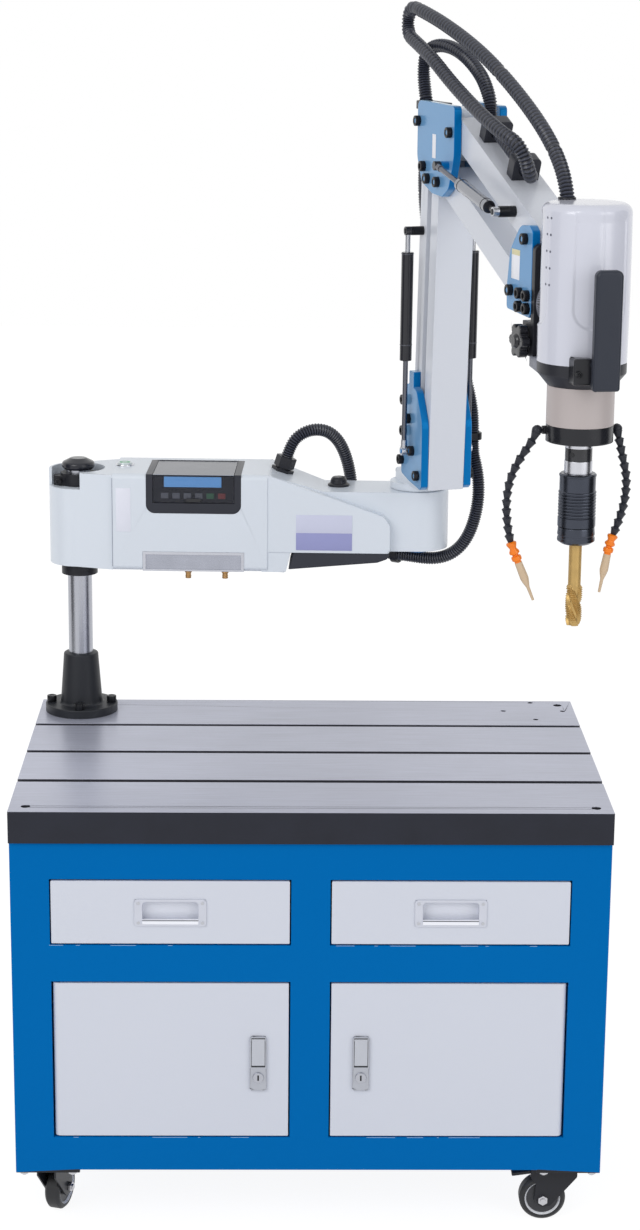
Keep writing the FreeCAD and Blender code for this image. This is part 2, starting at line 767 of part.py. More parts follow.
def post_collars():
    """The tapered collar that the arm runs on, and the split ring clamped above it."""
    top = arm_bottom - run_gap
    bore = post_radius + pin_gap
    collar = lathe([(bore, top - collar_height),
                    (collar_radius - collar_taper, top - collar_height),
                    (collar_radius, top - collar_height + collar_taper),
                    (collar_radius, top, 1), (bore, top)], post_x, post_y)
    low = tower_recess_floor + run_gap
    ring = rod(ring_radius, (0, 0, low), (0, 0, low + ring_height))
    near = ring_radius - 9
    left_ear = prism([(-ear_reach, -12, 2), (-near, -20), (-near, 4), (-ear_reach, 4, 2)],
                     "xy", low, low + ring_height - 4)
    right_ear = prism([(near, -6), (ear_reach, -6, 3), (ear_reach, 6, 3), (near, 6)],
                      "xy", low + ring_height - 5, low + ring_height)
    split = box(-ear_reach - 1, 0, -3.5, -2, low - 1, low + ring_height + 1)
    screw = rod(4.5, (-ear_reach + 9, -10, low + 8), (-ear_reach + 9, -21, low + 8))
    ring = fuse(ring, left_ear, right_ear).cut(split)
    ring = fuse(ring, screw).cut(rod(bore, (0, 0, low - 1), (0, 0, low + ring_height + 1)))
    ring.translate(Vector(post_x, post_y, 0))
    cap_low = tower_top - 2
    cap = lathe([(0, cap_low), (cap_radius - 3, cap_low), (cap_radius, cap_low + 4, 2),
                 (cap_radius, cap_low + cap_height - 7, 6), (13, cap_low + cap_height, 4),
                 (0, cap_low + cap_height)], post_x, post_y)
    return Part.makeCompound([collar, ring, cap])


# ================================================================ first arm
def panel_outline(grow):
    return [(panel_start - grow, panel_bottom - grow, panel_corner),
            (panel_end + grow, panel_bottom - grow, panel_corner),
            (panel_end + grow, arm_top + 1), (panel_start - grow, arm_top + 1)]


def panel_volume(grow):
    """The L-shaped space of the control panel, over the arm's front top edge."""
    front = prism(panel_outline(grow), "xz", box_front - 1, box_front + panel_block + grow)
    top = box(panel_start - grow, panel_end + grow, box_front - 1, panel_back + grow,
              arm_top - panel_skin - grow, arm_top + 1)
    return fuse(front, top)


def rectangle_at(x, y0, y1, z0, z1):
    corners = [Vector(x, y0, z0), Vector(x, y1, z0), Vector(x, y1, z1), Vector(x, y0, z1)]
    return Part.makePolygon(corners + corners[:1])


def arm_housing():
    tower = rod(tower_radius, (0, 0, arm_bottom), (0, 0, tower_top))
    neck = prism([(0, -tower_radius), (box_start, box_front + box_corner / 2),
                  (box_start, box_back - box_corner / 2), (0, tower_radius)],
                 "xy", arm_bottom, tower_top)
    body = prism([(box_front, arm_bottom, box_corner), (box_back, arm_bottom, box_corner),
                  (box_back, arm_top, box_corner), (box_front, arm_top, box_corner)],
                 "yz", box_start, box_end)
    slope = Part.makeLoft([rectangle_at(box_end, box_front + 3, box_back - 2,
                                        nose_bottom, arm_top),
                           rectangle_at(nose_start, -nose_half_width, nose_half_width,
                                        nose_bottom, nose_top)], True, True)
    step = prism([(box_end - 10, arm_bottom), (box_end + 30, arm_bottom, 3),
                  (box_end + 38, nose_bottom + 1), (box_end - 10, nose_bottom + 1)],
                 "xz", box_front + 3, box_back - 10)
    bulge = prism([(box_end - 12, nose_bottom), (bulge_end, nose_bottom, 5),
                   (bulge_end, nose_bottom + 46, 14), (bulge_end - 10, nose_bottom + 61, 5),
                   (box_end + 4, arm_top - 1, 3), (box_end - 12, arm_top - 1)],
                  "xz", bulge_front, bulge_front + bulge_depth)
    nose = prism([(nose_start - 5, -nose_half_width), (arm_reach, -nose_half_width),
                  (arm_reach, nose_half_width), (nose_start - 5, nose_half_width)],
                 "xy", nose_bottom, nose_top)
    nose_end = rod(nose_half_width, (arm_reach, 0, nose_bottom), (arm_reach, 0, nose_top))
    button_ring = rod(button_ring_radius, (button_x, button_y, arm_top - 1),
                      (button_x, button_y, arm_top + button_ring_height))
    housing = fuse(tower, neck, body, slope, step, bulge, nose, nose_end, button_ring)
    cuts = [
        rod(post_radius + pin_gap, (0, 0, arm_bottom - 1), (0, 0, arm_top)),
        rod(tower_recess_radius, (0, 0, tower_recess_floor), (0, 0, arm_top + 1)),
        prism([(-tower_radius - 2, -tower_radius - 2), (8, -tower_radius - 2),
               (4, -30, 6), (-tower_radius - 2, -4)], "xy", tower_recess_floor, arm_top + 1),
        rod(elbow_shaft_radius + pin_gap, (arm_reach, 0, nose_bottom - 1),
            (arm_reach, 0, nose_top + 1)),
        panel_volume(0.0),
        box(ports_start, ports_end, box_front - 1, box_front + ports_depth,
            arm_bottom - 1, arm_bottom + ports_height),
        rod(button_radius + pin_gap, (button_x, button_y, arm_top - button_depth),
            (button_x, button_y, arm_top + button_ring_height + 1)),
    ]
    return first_arm(housing.cut(cuts))


def control_panel():
    keep = box(panel_start - 1, panel_end + 1, box_front, panel_back + 1, panel_bottom - 1, arm_top)
    panel = panel_volume(0.0).common(keep)
    near = panel_start + cover_margin
    far = panel_end - cover_margin
    seat = arm_top - cover_sheet - run_gap
    recesses = [
        box(near, far, box_front - 1, cover_hinge_y + 4, seat, arm_top + 1),
        box(near, far, box_front - 1, box_front + cover_sheet + 1.3, cover_bottom - 1, arm_top + 1),
        box(near, far, cover_hinge_y - 4, cover_hinge_y + 4, seat - 2.4, arm_top + 1),
        box(near + 15, far - 20, box_front, box_front + cover_sheet + 3, 1075, 1093),
    ]
    panel = panel.cut(recesses)
    axis_z = arm_top - cover_sheet / 2
    pins = []
    for x0, x1 in ((near - 1, near + 6), (far - 6, far + 1)):
        pins.append(rod(cover_pin_radius, (x0, cover_hinge_y, axis_z), (x1, cover_hinge_y, axis_z)))
    return first_arm(fuse(panel, *pins))


def panel_cover():
    near = panel_start + cover_margin + run_gap
    far = panel_end - cover_margin - run_gap
    front = box_front + run_gap
    top = box(near, far, front, cover_hinge_y, arm_top - cover_sheet, arm_top)
    flap = box(near, far, front, front + cover_sheet, cover_bottom, arm_top)
    axis_z = arm_top - cover_sheet / 2
    barrel = rod(cover_barrel_radius, (near, cover_hinge_y, axis_z), (far, cover_hinge_y, axis_z))
    middle = (near + far) / 2
    latch = prism([(middle - 12, cover_bottom + 1, 2), (middle + 12, cover_bottom + 1, 2),
                   (middle + 12, cover_bottom + 7, 2), (middle - 12, cover_bottom + 7, 2)],
                  "xz", front - 2, front)
    bores = []
    for x0, x1 in ((near - 1, near + 6), (far - 6, far + 1)):
        bores.append(rod(cover_pin_radius + pin_gap, (x0, cover_hinge_y, axis_z),
                         (x1, cover_hinge_y, axis_z)))
    return first_arm(fuse(top, flap, barrel, latch).cut(bores))


def power_button():
    top = arm_top + button_ring_height + button_stand
    cap = lathe([(0, top - 9), (button_radius, top - 9), (button_radius, top, 2), (0, top)])
    cap.translate(Vector(button_x, button_y, 0))
    return first_arm(cap)


def port_plate():
    top = arm_bottom + ports_height
    block = box(ports_start, ports_end, box_front, box_front + ports_depth, arm_bottom, top)
    face = box(ports_start + ports_frame, ports_end - ports_frame, box_front - 1, box_front + 2,
               arm_bottom + 3, top - ports_frame)
    nipples = []
    for x in port_positions:
        y = box_front + ports_depth / 2
        nipples.append(rod(port_radius, (x, y, arm_bottom - port_drop), (x, y, arm_bottom)))
    return first_arm(fuse(block.cut(face), *nipples))


def arm_trim():
    trim = prism([(box_end + 34, arm_bottom + 4), (bulge_end - 20, arm_bottom + 17, 8),
                  (bulge_end - 4, nose_bottom - 10, 6), (bulge_end, nose_bottom),
                  (box_end + 42, nose_bottom)], "xz", bulge_front + 2, trim_back)
    return first_arm(trim)


def hexagon_prism(flat, low, high):
    corner = flat / math.cos(math.pi / 6)
    points = []
    for i in range(6):
        angle = math.pi * i / 3
        points.append((corner * math.cos(angle), corner * math.sin(angle)))
    return prism(points, "xy", low, high)


def slope_angle():
    return math.degrees(math.atan2(arm_top - nose_top, nose_start - box_end))


def arm_glands():
    """The conduit gland on the slope, the plugged outlet beside it and the clip underneath."""
    slope_z = arm_top - (gland_x - box_end) * math.tan(math.radians(slope_angle()))
    gland = fuse(hexagon_prism(gland_flat + 1.5, 0, 5), rod(gland_flat - 2, (0, 0, 5), (0, 0, 7)),
                 hexagon_prism(gland_flat, 7, gland_length))
    gland.rotate(Vector(0, 0, 0), Vector(0, 1, 0), slope_angle())
    gland.translate(Vector(gland_x, gland_y, slope_z))
    plug = lathe([(0, nose_top), (grommet_radius, nose_top), (grommet_radius, nose_top + 3),
                  (grommet_radius - 4, nose_top + 5), (grommet_radius - 5, nose_top + 11, 2),
                  (grommet_radius - 8, nose_top + grommet_height), (0, nose_top + grommet_height)])
    plug.translate(Vector(grommet_x, grommet_y, 0))
    end = Vector(*arm_conduit_route[-1])
    ahead = Vector(*elbow_conduit_route[1]) - end
    turn = math.degrees(math.atan2(ahead.y, ahead.x))
    outer = conduit_radius + 4
    clip = prism([(-outer, end.z - outer, outer - 1), (outer, end.z - outer, outer - 1),
                  (outer, nose_bottom), (-outer, nose_bottom)], "yz", -6, 6)
    clip = clip.cut(rod(conduit_radius + clip_gap, (-20, 0, end.z), (20, 0, end.z)))
    clip.rotate(Vector(0, 0, 0), Vector(0, 0, 1), turn)
    clip.translate(Vector(end.x, end.y, 0))
    return first_arm(Part.makeCompound([gland, plug, clip]))


# ================================================================ elbow and column
def elbow_turret():
    """The elbow's shaft and hub, and the block that the column's side plates bolt to."""
    hub_low = nose_top + run_gap
    hub_top = hub_low + hub_thickness
    nut_top = nose_bottom - run_gap
    shaft = rod(elbow_shaft_radius, (0, 0, nut_top - elbow_nut_height), (0, 0, hub_low))
    nut = rod(elbow_nut_radius, (0, 0, nut_top - elbow_nut_height), (0, 0, nut_top))
    hub = rod(hub_radius, (0, 0, hub_low), (0, 0, hub_top))
    block = prism([(-28, hub_top, 0), (84, hub_top, 0), (84, 1164, 4), (36, 1164, 4),
                   (36, 1112, 6), (-28, 1098, 8)], "xz", -beam_width / 2, beam_width / 2)
    return second_arm(fuse(shaft, nut, hub, block))


def on_both_sides(outline):
    left = prism(outline, "xz", -plate_outside, -plate_inside)
    right = prism(outline, "xz", plate_inside, plate_outside)
    return left, right


def moved(outline, x, z):
    """An outline given about a pivot, moved to the pivot's place in the arm plane."""
    return [(point[0] + x, point[1] + z) + tuple(point[2:]) for point in outline]


def pivot_bores(points):
    bores = []
    for x, z in points:
        bores.append(rod(pin_radius + pin_gap, (x, -plate_outside - 1, z),
                         (x, plate_outside + 1, z)))
    return bores


def pivot_pins(points):
    pins = []
    for x, z in points:
        pin = rod(pin_radius, (x, -plate_outside, z), (x, plate_outside, z))
        heads = []
        for side in (-1, 1):
            y0 = side * plate_outside
            heads.append(rod(pin_head_radius, (x, y0, z), (x, y0 + side * pin_head_height, z)))
        pins.append(fuse(pin, *heads))
    return pins


def turret_plates():
    """Side plates with the column's two foot pins, the gas springs' foot studs and a clip."""
    outline = [(33, 1101, 8), (68, 1094), (120, 1088, 5), (128, 1094, 4), (128, 1196, 40),
               (100, 1244, 16), (70, 1253, 10), (42, 1246, 10), (42, 1160, 10), (32, 1140, 10)]
    left, right = on_both_sides(outline)
    feet = [front_foot, rear_foot]
    left = left.cut(pivot_bores(feet))
    right = right.cut(pivot_bores(feet))
    stop = box(64, 86, -plate_outside, -plate_inside, 1240, 1272)
    studs = []
    for side in (-1, 1):
        x, z = column_spring_foot
        inner = side * plate_outside
        outer = side * (spring_side + spring_eye_half_width + 1)
        shoulder = side * (spring_side - spring_eye_half_width - run_gap)
        studs.append(fuse(rod(spring_stud_radius, (x, inner, z), (x, outer, z)),
                          rod(spring_boss_radius, (x, inner, z), (x, shoulder, z))))
    end = column_conduit_route[0]
    outer = conduit_radius + 3.5
    clip = prism([(end[0] - outer, plate_outside), (end[0] + outer, plate_outside),
                  (end[0] + outer, end[1] + outer, outer - 1),
                  (end[0] - outer, end[1] + outer, outer - 1)], "xy", end[2] - 6, end[2] + 6)
    hole = rod(conduit_radius + clip_gap, (end[0], end[1], end[2] - 10),
               (end[0], end[1], end[2] + 10))
    left = fuse(left, stop, studs[0])
    right = fuse(right, studs[1], clip.cut(hole))
    pins = pivot_pins(feet)
    return second_arm(Part.makeCompound([left, right] + pins))


def beam_shell(depth, back, ahead, round_back, round_ahead):
    """A rectangular tube along +x, its pivots at 0 and at its length."""
    def outline(d, back_end, ahead_end):
        back_r = d / 2 - 0.01 if round_back else 0
        ahead_r = d / 2 - 0.01 if round_ahead else 0
        return [(back_end, -d / 2, back_r), (ahead_end, -d / 2, ahead_r),
                (ahead_end, d / 2, ahead_r), (back_end, d / 2, back_r)]
    inner = depth - 2 * beam_wall
    shell = prism(outline(depth, back, ahead), "xz", -beam_width / 2, beam_width / 2)
    hollow = prism(outline(inner, back + beam_wall, ahead - beam_wall), "xz",
                   -beam_width / 2 + beam_wall, beam_width / 2 - beam_wall)
    return shell.cut(hollow)


def pivot_tubes(stations):
    """Bearing tubes across a beam, which the pivot pins run in."""
    tubes = []
    for x in stations:
        tubes.append(rod(pin_radius + 4, (x, -beam_width / 2, 0), (x, beam_width / 2, 0)))
    return tubes


def beam(depth, length, back, ahead, round_back=True, round_ahead=True):
    shell = beam_shell(depth, back, ahead, round_back, round_ahead)
    solid = fuse(shell, *pivot_tubes((0, length)))
    holes = []
    for x in (0, length):
        holes.append(rod(pin_radius + pin_gap, (x, -beam_width, 0), (x, beam_width, 0)))
    return solid.cut(holes)


def column_tilt():
    return 90.0 - column_lean


def column_beam_front():
    half = column_depth / 2
    tube = beam(column_depth, column_length, -front_foot_tail, column_length + half,
                round_back=False)
    return second_arm(tilted(tube, front_foot, column_tilt()))


def column_beam_rear():
    half = column_depth / 2
    tube = beam(column_depth, column_length, -half, column_length + half)
    studs = []
    for side in (-1, 1):
        inner = side * beam_width / 2
        outer = side * (spring_side + spring_eye_half_width + 1)
        shoulder = side * (spring_side - spring_eye_half_width - run_gap)
        x = column_spring_station
        studs.append(rod(spring_stud_radius, (x, inner, 0), (x, outer, 0)))
        studs.append(rod(spring_boss_radius, (x, inner, 0), (x, shoulder, 0)))
    return second_arm(tilted(fuse(tube, *studs), rear_foot, column_tilt()))


def column_heads():
    front = along(front_foot, column_tilt(), column_length)
    rear = along(rear_foot, column_tilt(), column_length)
    return front, rear


# ================================================================ knuckle
def knuckle_plates():
    outline = moved([(-52.5, 116.5, 12), (107.5, 114.5, 8), (108.5, 36.5, 60), (87.5, -9.5, 18),
                     (61.5, -23.5, 14), (15.5, -21.5, 10), (-30.5, -7.5, 16), (-52.5, 30.5, 30)],
                    knuckle_x, knuckle_z)
    left, right = on_both_sides(outline)
    front, rear = column_heads()
    pivots = [front, rear, lower_shoulder, upper_shoulder]
    left = left.cut(pivot_bores(pivots))
    right = right.cut(pivot_bores(pivots))
    x, z = forearm_spring_anchor
    face = forearm_spring_side - spring_eye_half_width - run_gap
    stud = rod(spring_boss_radius, (x, -plate_outside, z), (x, -face, z))
    left = fuse(left, stud)
    return second_arm(Part.makeCompound([fuse(left, right, knuckle_block())] + pivot_pins(pivots)))


def knuckle_block():
    """The spacer between the knuckle's plates, with the conduit's guide behind it."""
    half = plate_inside
    core = prism(moved([(-17.5, 28.5, 3), (37.5, 28.5, 3), (64.5, 40.5, 3), (64.5, 108.5, 6),
                        (-17.5, 108.5, 6)], knuckle_x, knuckle_z), "xz", -half, half)
    end = guide_point
    guide_top = guide_point[2] - 4
    guide_low = guide_top - guide_height
    outer = conduit_radius + 4
    guide = prism([(end[0] - outer, end[1] - outer, outer - 1),
                   (knuckle_x - 9.5, end[1] - outer), (knuckle_x - 9.5, end[1] + outer),
                   (end[0] - outer, end[1] + outer, outer - 1)], "xy", guide_low, guide_top)
    run = Vector(*column_conduit_route[-1]) - Vector(*column_conduit_route[-2])
    start = Vector(*column_conduit_route[-2])
    hole = rod(conduit_radius + clip_gap, tuple(start), tuple(start + run * 1.4))
    clear = rear_head_clearance()
    return fuse(core, guide.cut([hole, clear]))


def rear_head_clearance():
    """The room that the rear column beam's rounded head turns in."""
    head = column_heads()[1]
    return rod(column_depth / 2 + 2, (head[0], -60, head[1]), (head[0], 60, head[1]))


# ================================================================ forearm
def forearm_upper():
    half = forearm_depth / 2
    tube = beam(forearm_depth, forearm_length, -half, forearm_length + half)
    x = forearm_spring_station
    inner = -beam_width / 2
    outer = -(forearm_spring_side + spring_eye_half_width + 1)
    shoulder = -(forearm_spring_side - spring_eye_half_width - run_gap)
    stud = fuse(rod(spring_stud_radius, (x, inner, 0), (x, outer, 0)),
                rod(spring_boss_radius + 1, (x, inner, 0), (x, shoulder, 0)))
    return second_arm(tilted(fuse(tube, stud), upper_shoulder, -forearm_drop))


def forearm_lower():
    half = forearm_depth / 2
    tube = beam(forearm_depth, forearm_length, -half, forearm_length + half)
    return second_arm(tilted(tube, lower_shoulder, -forearm_drop))


def conduit_clamps():
    clamps = []
    foot = forearm_depth / 2
    half = clamp_width / 2
    for station in clamp_stations:
        block = prism([(-half, foot), (half, foot), (half, foot + clamp_height, 7),
                       (-half, foot + clamp_height, 7)],
                      "yz", station - clamp_length / 2, station + clamp_length / 2)
        level = foot + clamp_rise
        bore = rod(conduit_radius + clip_gap, (station - clamp_length, 0, level),
                   (station + clamp_length, 0, level))
        clamps.append(second_arm(tilted(block.cut(bore), upper_shoulder, -forearm_drop)))
    return Part.makeCompound(clamps)


# ================================================================ gas springs
def spring_tube_solid(length, neck):
    """A gas spring's cylinder along -x from its eye at the origin, open at its lower end."""
    eye = rod(spring_eye_radius, (0, -spring_eye_half_width, 0), (0, spring_eye_half_width, 0))
    link = rod(4.0, (-neck - 1, 0, 0), (0, 0, 0))
    body = rod(spring_tube_radius, (-neck - length, 0, 0), (-neck, 0, 0))
    bore = rod(spring_bore_radius, (-neck - length - 1, 0, 0), (-neck - 8, 0, 0))
    solid = fuse(eye, link, body).cut(bore)
    return solid


def spring_rod_solid(length, eye_half):
    """A gas spring's rod along +x from its eye at the origin."""
    eye = rod(spring_eye_radius, (0, -eye_half, 0), (0, eye_half, 0))
    sleeve = rod(spring_rod_radius + 1, (0, 0, 0), (18, 0, 0))
    shaft = rod(spring_rod_radius, (0, 0, 0), (length, 0, 0))
    return fuse(eye, sleeve, shaft)


def eye_hole():
    radius = spring_stud_radius + pin_gap
    return rod(radius, (0, -20, 0), (0, 20, 0))


def line_between(start, end):
    span_x = end[0] - start[0]
    span_z = end[1] - start[1]
    return math.hypot(span_x, span_z), math.degrees(math.atan2(span_z, span_x))


def column_spring_ends():
    return column_spring_foot, along(rear_foot, column_tilt(), column_spring_station)


def column_spring_tubes():
    foot, top = column_spring_ends()
    tilt = line_between(foot, top)[1]
    tube = spring_tube_solid(column_spring_tube, column_spring_neck).cut(eye_hole())
    tubes = []
    for side in (-1, 1):
        placed = tilted(tube, top, tilt)
        placed.translate(Vector(0, side * spring_side, 0))
        tubes.append(second_arm(placed))
    return Part.makeCompound(tubes)


def column_spring_rods():
    foot, top = column_spring_ends()
    span, tilt = line_between(foot, top)
    length = span - column_spring_neck - column_spring_tube + column_spring_rod_inside
    shaft = spring_rod_solid(length, spring_eye_half_width).cut(eye_hole())
    rods = []
    for side in (-1, 1):
        placed = tilted(shaft, foot, tilt)
        placed.translate(Vector(0, side * spring_side, 0))
        rods.append(second_arm(placed))
    return Part.makeCompound(rods)


def forearm_spring_ends():
    top = along(upper_shoulder, -forearm_drop, forearm_spring_station)
    return forearm_spring_anchor, top


def forearm_spring_cylinder():
    foot, top = forearm_spring_ends()
    tilt = line_between(foot, top)[1]
    placed = tilted(spring_tube_solid(forearm_spring_tube, forearm_spring_neck).cut(eye_hole()),
                    top, tilt)
    placed.translate(Vector(0, -forearm_spring_side, 0))
    return second_arm(placed)


def forearm_spring_piston():
    """The rod, with a flat eye that lies against the end of its stud."""
    foot, top = forearm_spring_ends()
    span, tilt = line_between(foot, top)
    length = span - forearm_spring_neck - forearm_spring_tube + forearm_spring_rod_inside
    placed = tilted(spring_rod_solid(length, spring_eye_half_width), foot, tilt)
    placed.translate(Vector(0, -forearm_spring_side, 0))
    return second_arm(placed)


# ================================================================ head bracket
def forearm_ends():
    upper = along(upper_shoulder, -forearm_drop, forearm_length)
    lower = along(lower_shoulder, -forearm_drop, forearm_length)
    return upper, lower


def head_plates():
    width = carrier_back - bracket_x
    outline = moved([(-17, -28, 6), (width - 6.5, -32, 4), (width, -25, 3), (width, 89, 8),
                     (width - 11.5, 97, 10), (27, 94, 24), (-9, 57, 40), (-19, 1, 20)],
                    bracket_x, bracket_z)
    left, right = on_both_sides(outline)
    pivots = list(forearm_ends())
    left = left.cut(pivot_bores(pivots))
    right = right.cut(pivot_bores(pivots))
    return second_arm(Part.makeCompound([left, right] + pivot_pins(pivots)))


def head_carrier():
    """The black plate that closes the bracket and holds the head's swivel."""
    front = carrier_back + carrier_thickness
    plate = prism([(-plate_outside, carrier_bottom, 4), (plate_outside, carrier_bottom, 4),
                   (plate_outside, carrier_top, 10), (-plate_outside, carrier_top, 10)],
                  "yz", carrier_back, front)
    half = beam_width / 2
    block = box(bracket_x + 25, carrier_back + 1, -half, half, swivel_height - 19,
                swivel_height + 19)
    foot = box(swivel_start - 2, carrier_back + 1, -plate_outside, plate_outside, carrier_bottom,
               carrier_bottom + 48)
    stem_hole = rod(5 + pin_gap, (knob_centre[0], -plate_outside - 1, knob_centre[1]),
                    (knob_centre[0], -plate_outside + 22, knob_centre[1]))
    bore = rod(swivel_radius + pin_gap, (swivel_start - 1, 0, swivel_height),
               (front + 1, 0, swivel_height))
    return second_arm(fuse(plate, block, foot).cut([stem_hole, bore]))


def lock_knob():
    x, z = knob_centre
    start = -plate_outside
    stem = rod(5, (x, start + 20, z), (x, start - 4, z))
    lobes = []
    for i in range(knob_lobes):
        angle = 2 * math.pi * i / knob_lobes
        lx = x + (knob_radius - 7) * math.cos(angle)
        lz = z + (knob_radius - 7) * math.sin(angle)
        lobes.append(rod(7, (lx, start - 3, lz), (lx, start - 16, lz)))
    disc = rod(knob_radius - 6, (x, start - 3, z), (x, start - 16, z))
    boss = cone(11, 8, (x, start - 16, z), (x, start - 20, z))
    return second_arm(fuse(stem, disc, boss, *lobes))


# ================================================================ head
def head_saddle():
    """The swivel disc with its shaft, and the web down to the collar."""
    start = carrier_back + carrier_thickness + run_gap
    disc = rod(saddle_radius, (start, 0, swivel_height), (saddle_end, 0, swivel_height))
    shaft = rod(swivel_radius, (swivel_start, 0, swivel_height), (start + 1, 0, swivel_height))
    web = prism([(start, swivel_height), (start, cover_foot - 19, 6),
                 (head_reach - 44, gearbox_top - 4), (head_reach - 44, gearbox_cone_top - 2),
                 (saddle_end, cover_foot - 3), (saddle_end, swivel_height)],
                "xz", -26, 26)
    body = fuse(disc, shaft, web)
    clearances = [rod(cover_radius + cover_bulge + run_gap, (head_reach, 0, cover_foot),
                      (head_reach, 0, cover_top)),
                  lathe([(0, gearbox_top - 8), (gearbox_radius + run_gap, gearbox_top - 8),
                         (gearbox_radius + run_gap, gearbox_top),
                         (cover_radius + run_gap, gearbox_cone_top),
                         (cover_radius + run_gap, cover_foot), (0, cover_foot)], head_reach, 0)]
    return body.cut(clearances)


def head_cover():
    dome = lathe([(0, cover_foot), (cover_radius, cover_foot),
                  (cover_radius + cover_bulge, cover_foot + 60),
                  (cover_radius, cover_top - 2, cover_edge), (0, cover_top)], head_reach, 0)
    cuts = []
    for column, turn in ((0, 232.0), (1, 244.0)):
        angle = math.radians(turn)
        dx = math.cos(angle)
        dy = math.sin(angle)
        for row in range(vent_rows):
            z = vent_low + row * vent_pitch
            cuts.append(rod(vent_radius, (head_reach + 50 * dx, 50 * dy, z),
                            (head_reach + 70 * dx, 70 * dy, z)))
    seam = rod(0.8, (head_reach + cover_radius + 0.6, 0, cover_foot - 1),
               (head_reach + cover_radius + 0.6, 0, cover_top - cover_edge))
    seam.rotate(Vector(head_reach, 0, 0), Vector(0, 0, 1), 12)
    panel = prism([(head_reach + 30, cover_foot + 40, 24), (head_reach + 80, cover_foot + 40, 24),
                   (head_reach + 80, cover_top - 30), (head_reach + 30, cover_top - 30)],
                  "xz", -80, -cover_radius + 16)
    panel = panel.common(ring_shell(cover_radius - 1.2))
    end = Vector(*gland_point)
    inward = (end - Vector(*drop_conduit_route[-2])).normalize()
    gland = rod(conduit_radius + 3, tuple(end), tuple(end + inward * 18))
    return second_arm(fuse(dome.cut(cuts + [seam, panel]), gland))


def ring_shell(radius):
    outer = rod(radius + 20, (head_reach, 0, cover_foot), (head_reach, 0, cover_top))
    return outer.cut(rod(radius, (head_reach, 0, cover_foot - 1), (head_reach, 0, cover_top + 1)))


def gearbox():
    body = lathe([(0, gearbox_foot), (gearbox_radius, gearbox_foot), (gearbox_radius, gearbox_top),
                  (0, gearbox_top)], head_reach, 0)
    return second_arm(body.cut(rod(spindle_radius + pin_gap, (head_reach, 0, gearbox_foot - 1),
                                   (head_reach, 0, gearbox_foot + 12))))


def head_point(point):
    """A point given from the spindle's line and the lower ring's foot."""
    return Vector(head_reach + point[0], point[1], ring_foot + point[2])


def head_collar():
    """The collar under the cover with its saddle, and the lower ring with the hoses' bosses."""
    ring = lathe([(0, ring_foot), (gearbox_radius - 8, ring_foot), (gearbox_radius, ring_foot + 7, 5),
                  (gearbox_radius, gearbox_foot), (0, gearbox_foot)], head_reach, 0)
    bosses = []
    for route in (left_hose_route, right_hose_route):
        start = head_point(route[0])
        side = math.copysign(1, start[1])
        end = side * (abs(start[1]) - hose_ball_radius - run_gap)
        inner = side * (gearbox_radius - 17)
        bosses.append(rod(6, (start[0], inner, start[2]), (start[0], end, start[2])))
    bore = rod(spindle_radius + pin_gap, (head_reach, 0, ring_foot - 1),
               (head_reach, 0, gearbox_foot + 1))
    ring = fuse(ring, *bosses).cut(bore)
    collar = lathe([(0, gearbox_top), (gearbox_radius, gearbox_top),
                    (cover_radius, gearbox_cone_top), (cover_radius, cover_foot), (0, cover_foot)],
                   head_reach, 0)
    return second_arm(Part.makeCompound([ring, fuse(collar, head_saddle())]))


def grip_handle():
    """The hand grip before the head, on a switch block clamped to the collar."""
    half = grip_width / 2
    centre = 8.0
    grip = prism([(centre - half, grip_foot, 4), (centre + half, grip_foot, 4),
                  (centre + half, grip_top, 9), (centre - half, grip_top, 9)],
                 "yz", grip_reach, grip_reach + grip_depth)
    long_edges = [edge for edge in grip.Edges if edge.Length > grip_top - grip_foot - 20]
    grip = grip.makeFillet(5, long_edges)
    block = box(head_reach + 50, grip_reach - 6, -40, -6, gearbox_cone_top - 8, cover_foot + 14)
    neck = box(head_reach + 50, grip_reach + 4, -8, 20, gearbox_cone_top - 6, cover_foot + 6)
    clearances = [rod(cover_radius + cover_bulge + run_gap, (head_reach, 0, gearbox_cone_top),
                      (head_reach, 0, cover_top)),
                  lathe([(0, gearbox_top - 10), (gearbox_radius + run_gap, gearbox_top - 10),
                         (gearbox_radius + run_gap, gearbox_top),
                         (cover_radius + run_gap, gearbox_cone_top),
                         (0, gearbox_cone_top)], head_reach, 0)]
    return second_arm(fuse(grip, block, neck).cut(clearances))


def spindle_nose():
    top = ring_foot - run_gap
    body = lathe([(0, nose_foot), (nose_radius + 0.6, nose_foot), (nose_radius + 0.6, nose_foot + 18),
                  (nose_radius, nose_foot + 18), (nose_radius, nose_foot + 36),
                  (nose_radius + 0.4, nose_foot + 36), (nose_radius + 0.4, top), (0, top)],
                 head_reach, 0)
    shaft = rod(spindle_radius, (head_reach, 0, top - 1), (head_reach, 0, gearbox_foot + 10))
    bore = rod(spindle_radius + pin_gap, (head_reach, 0, nose_foot - 1),
               (head_reach, 0, nose_foot + 20))
    return second_arm(fuse(body, shaft).cut(bore))


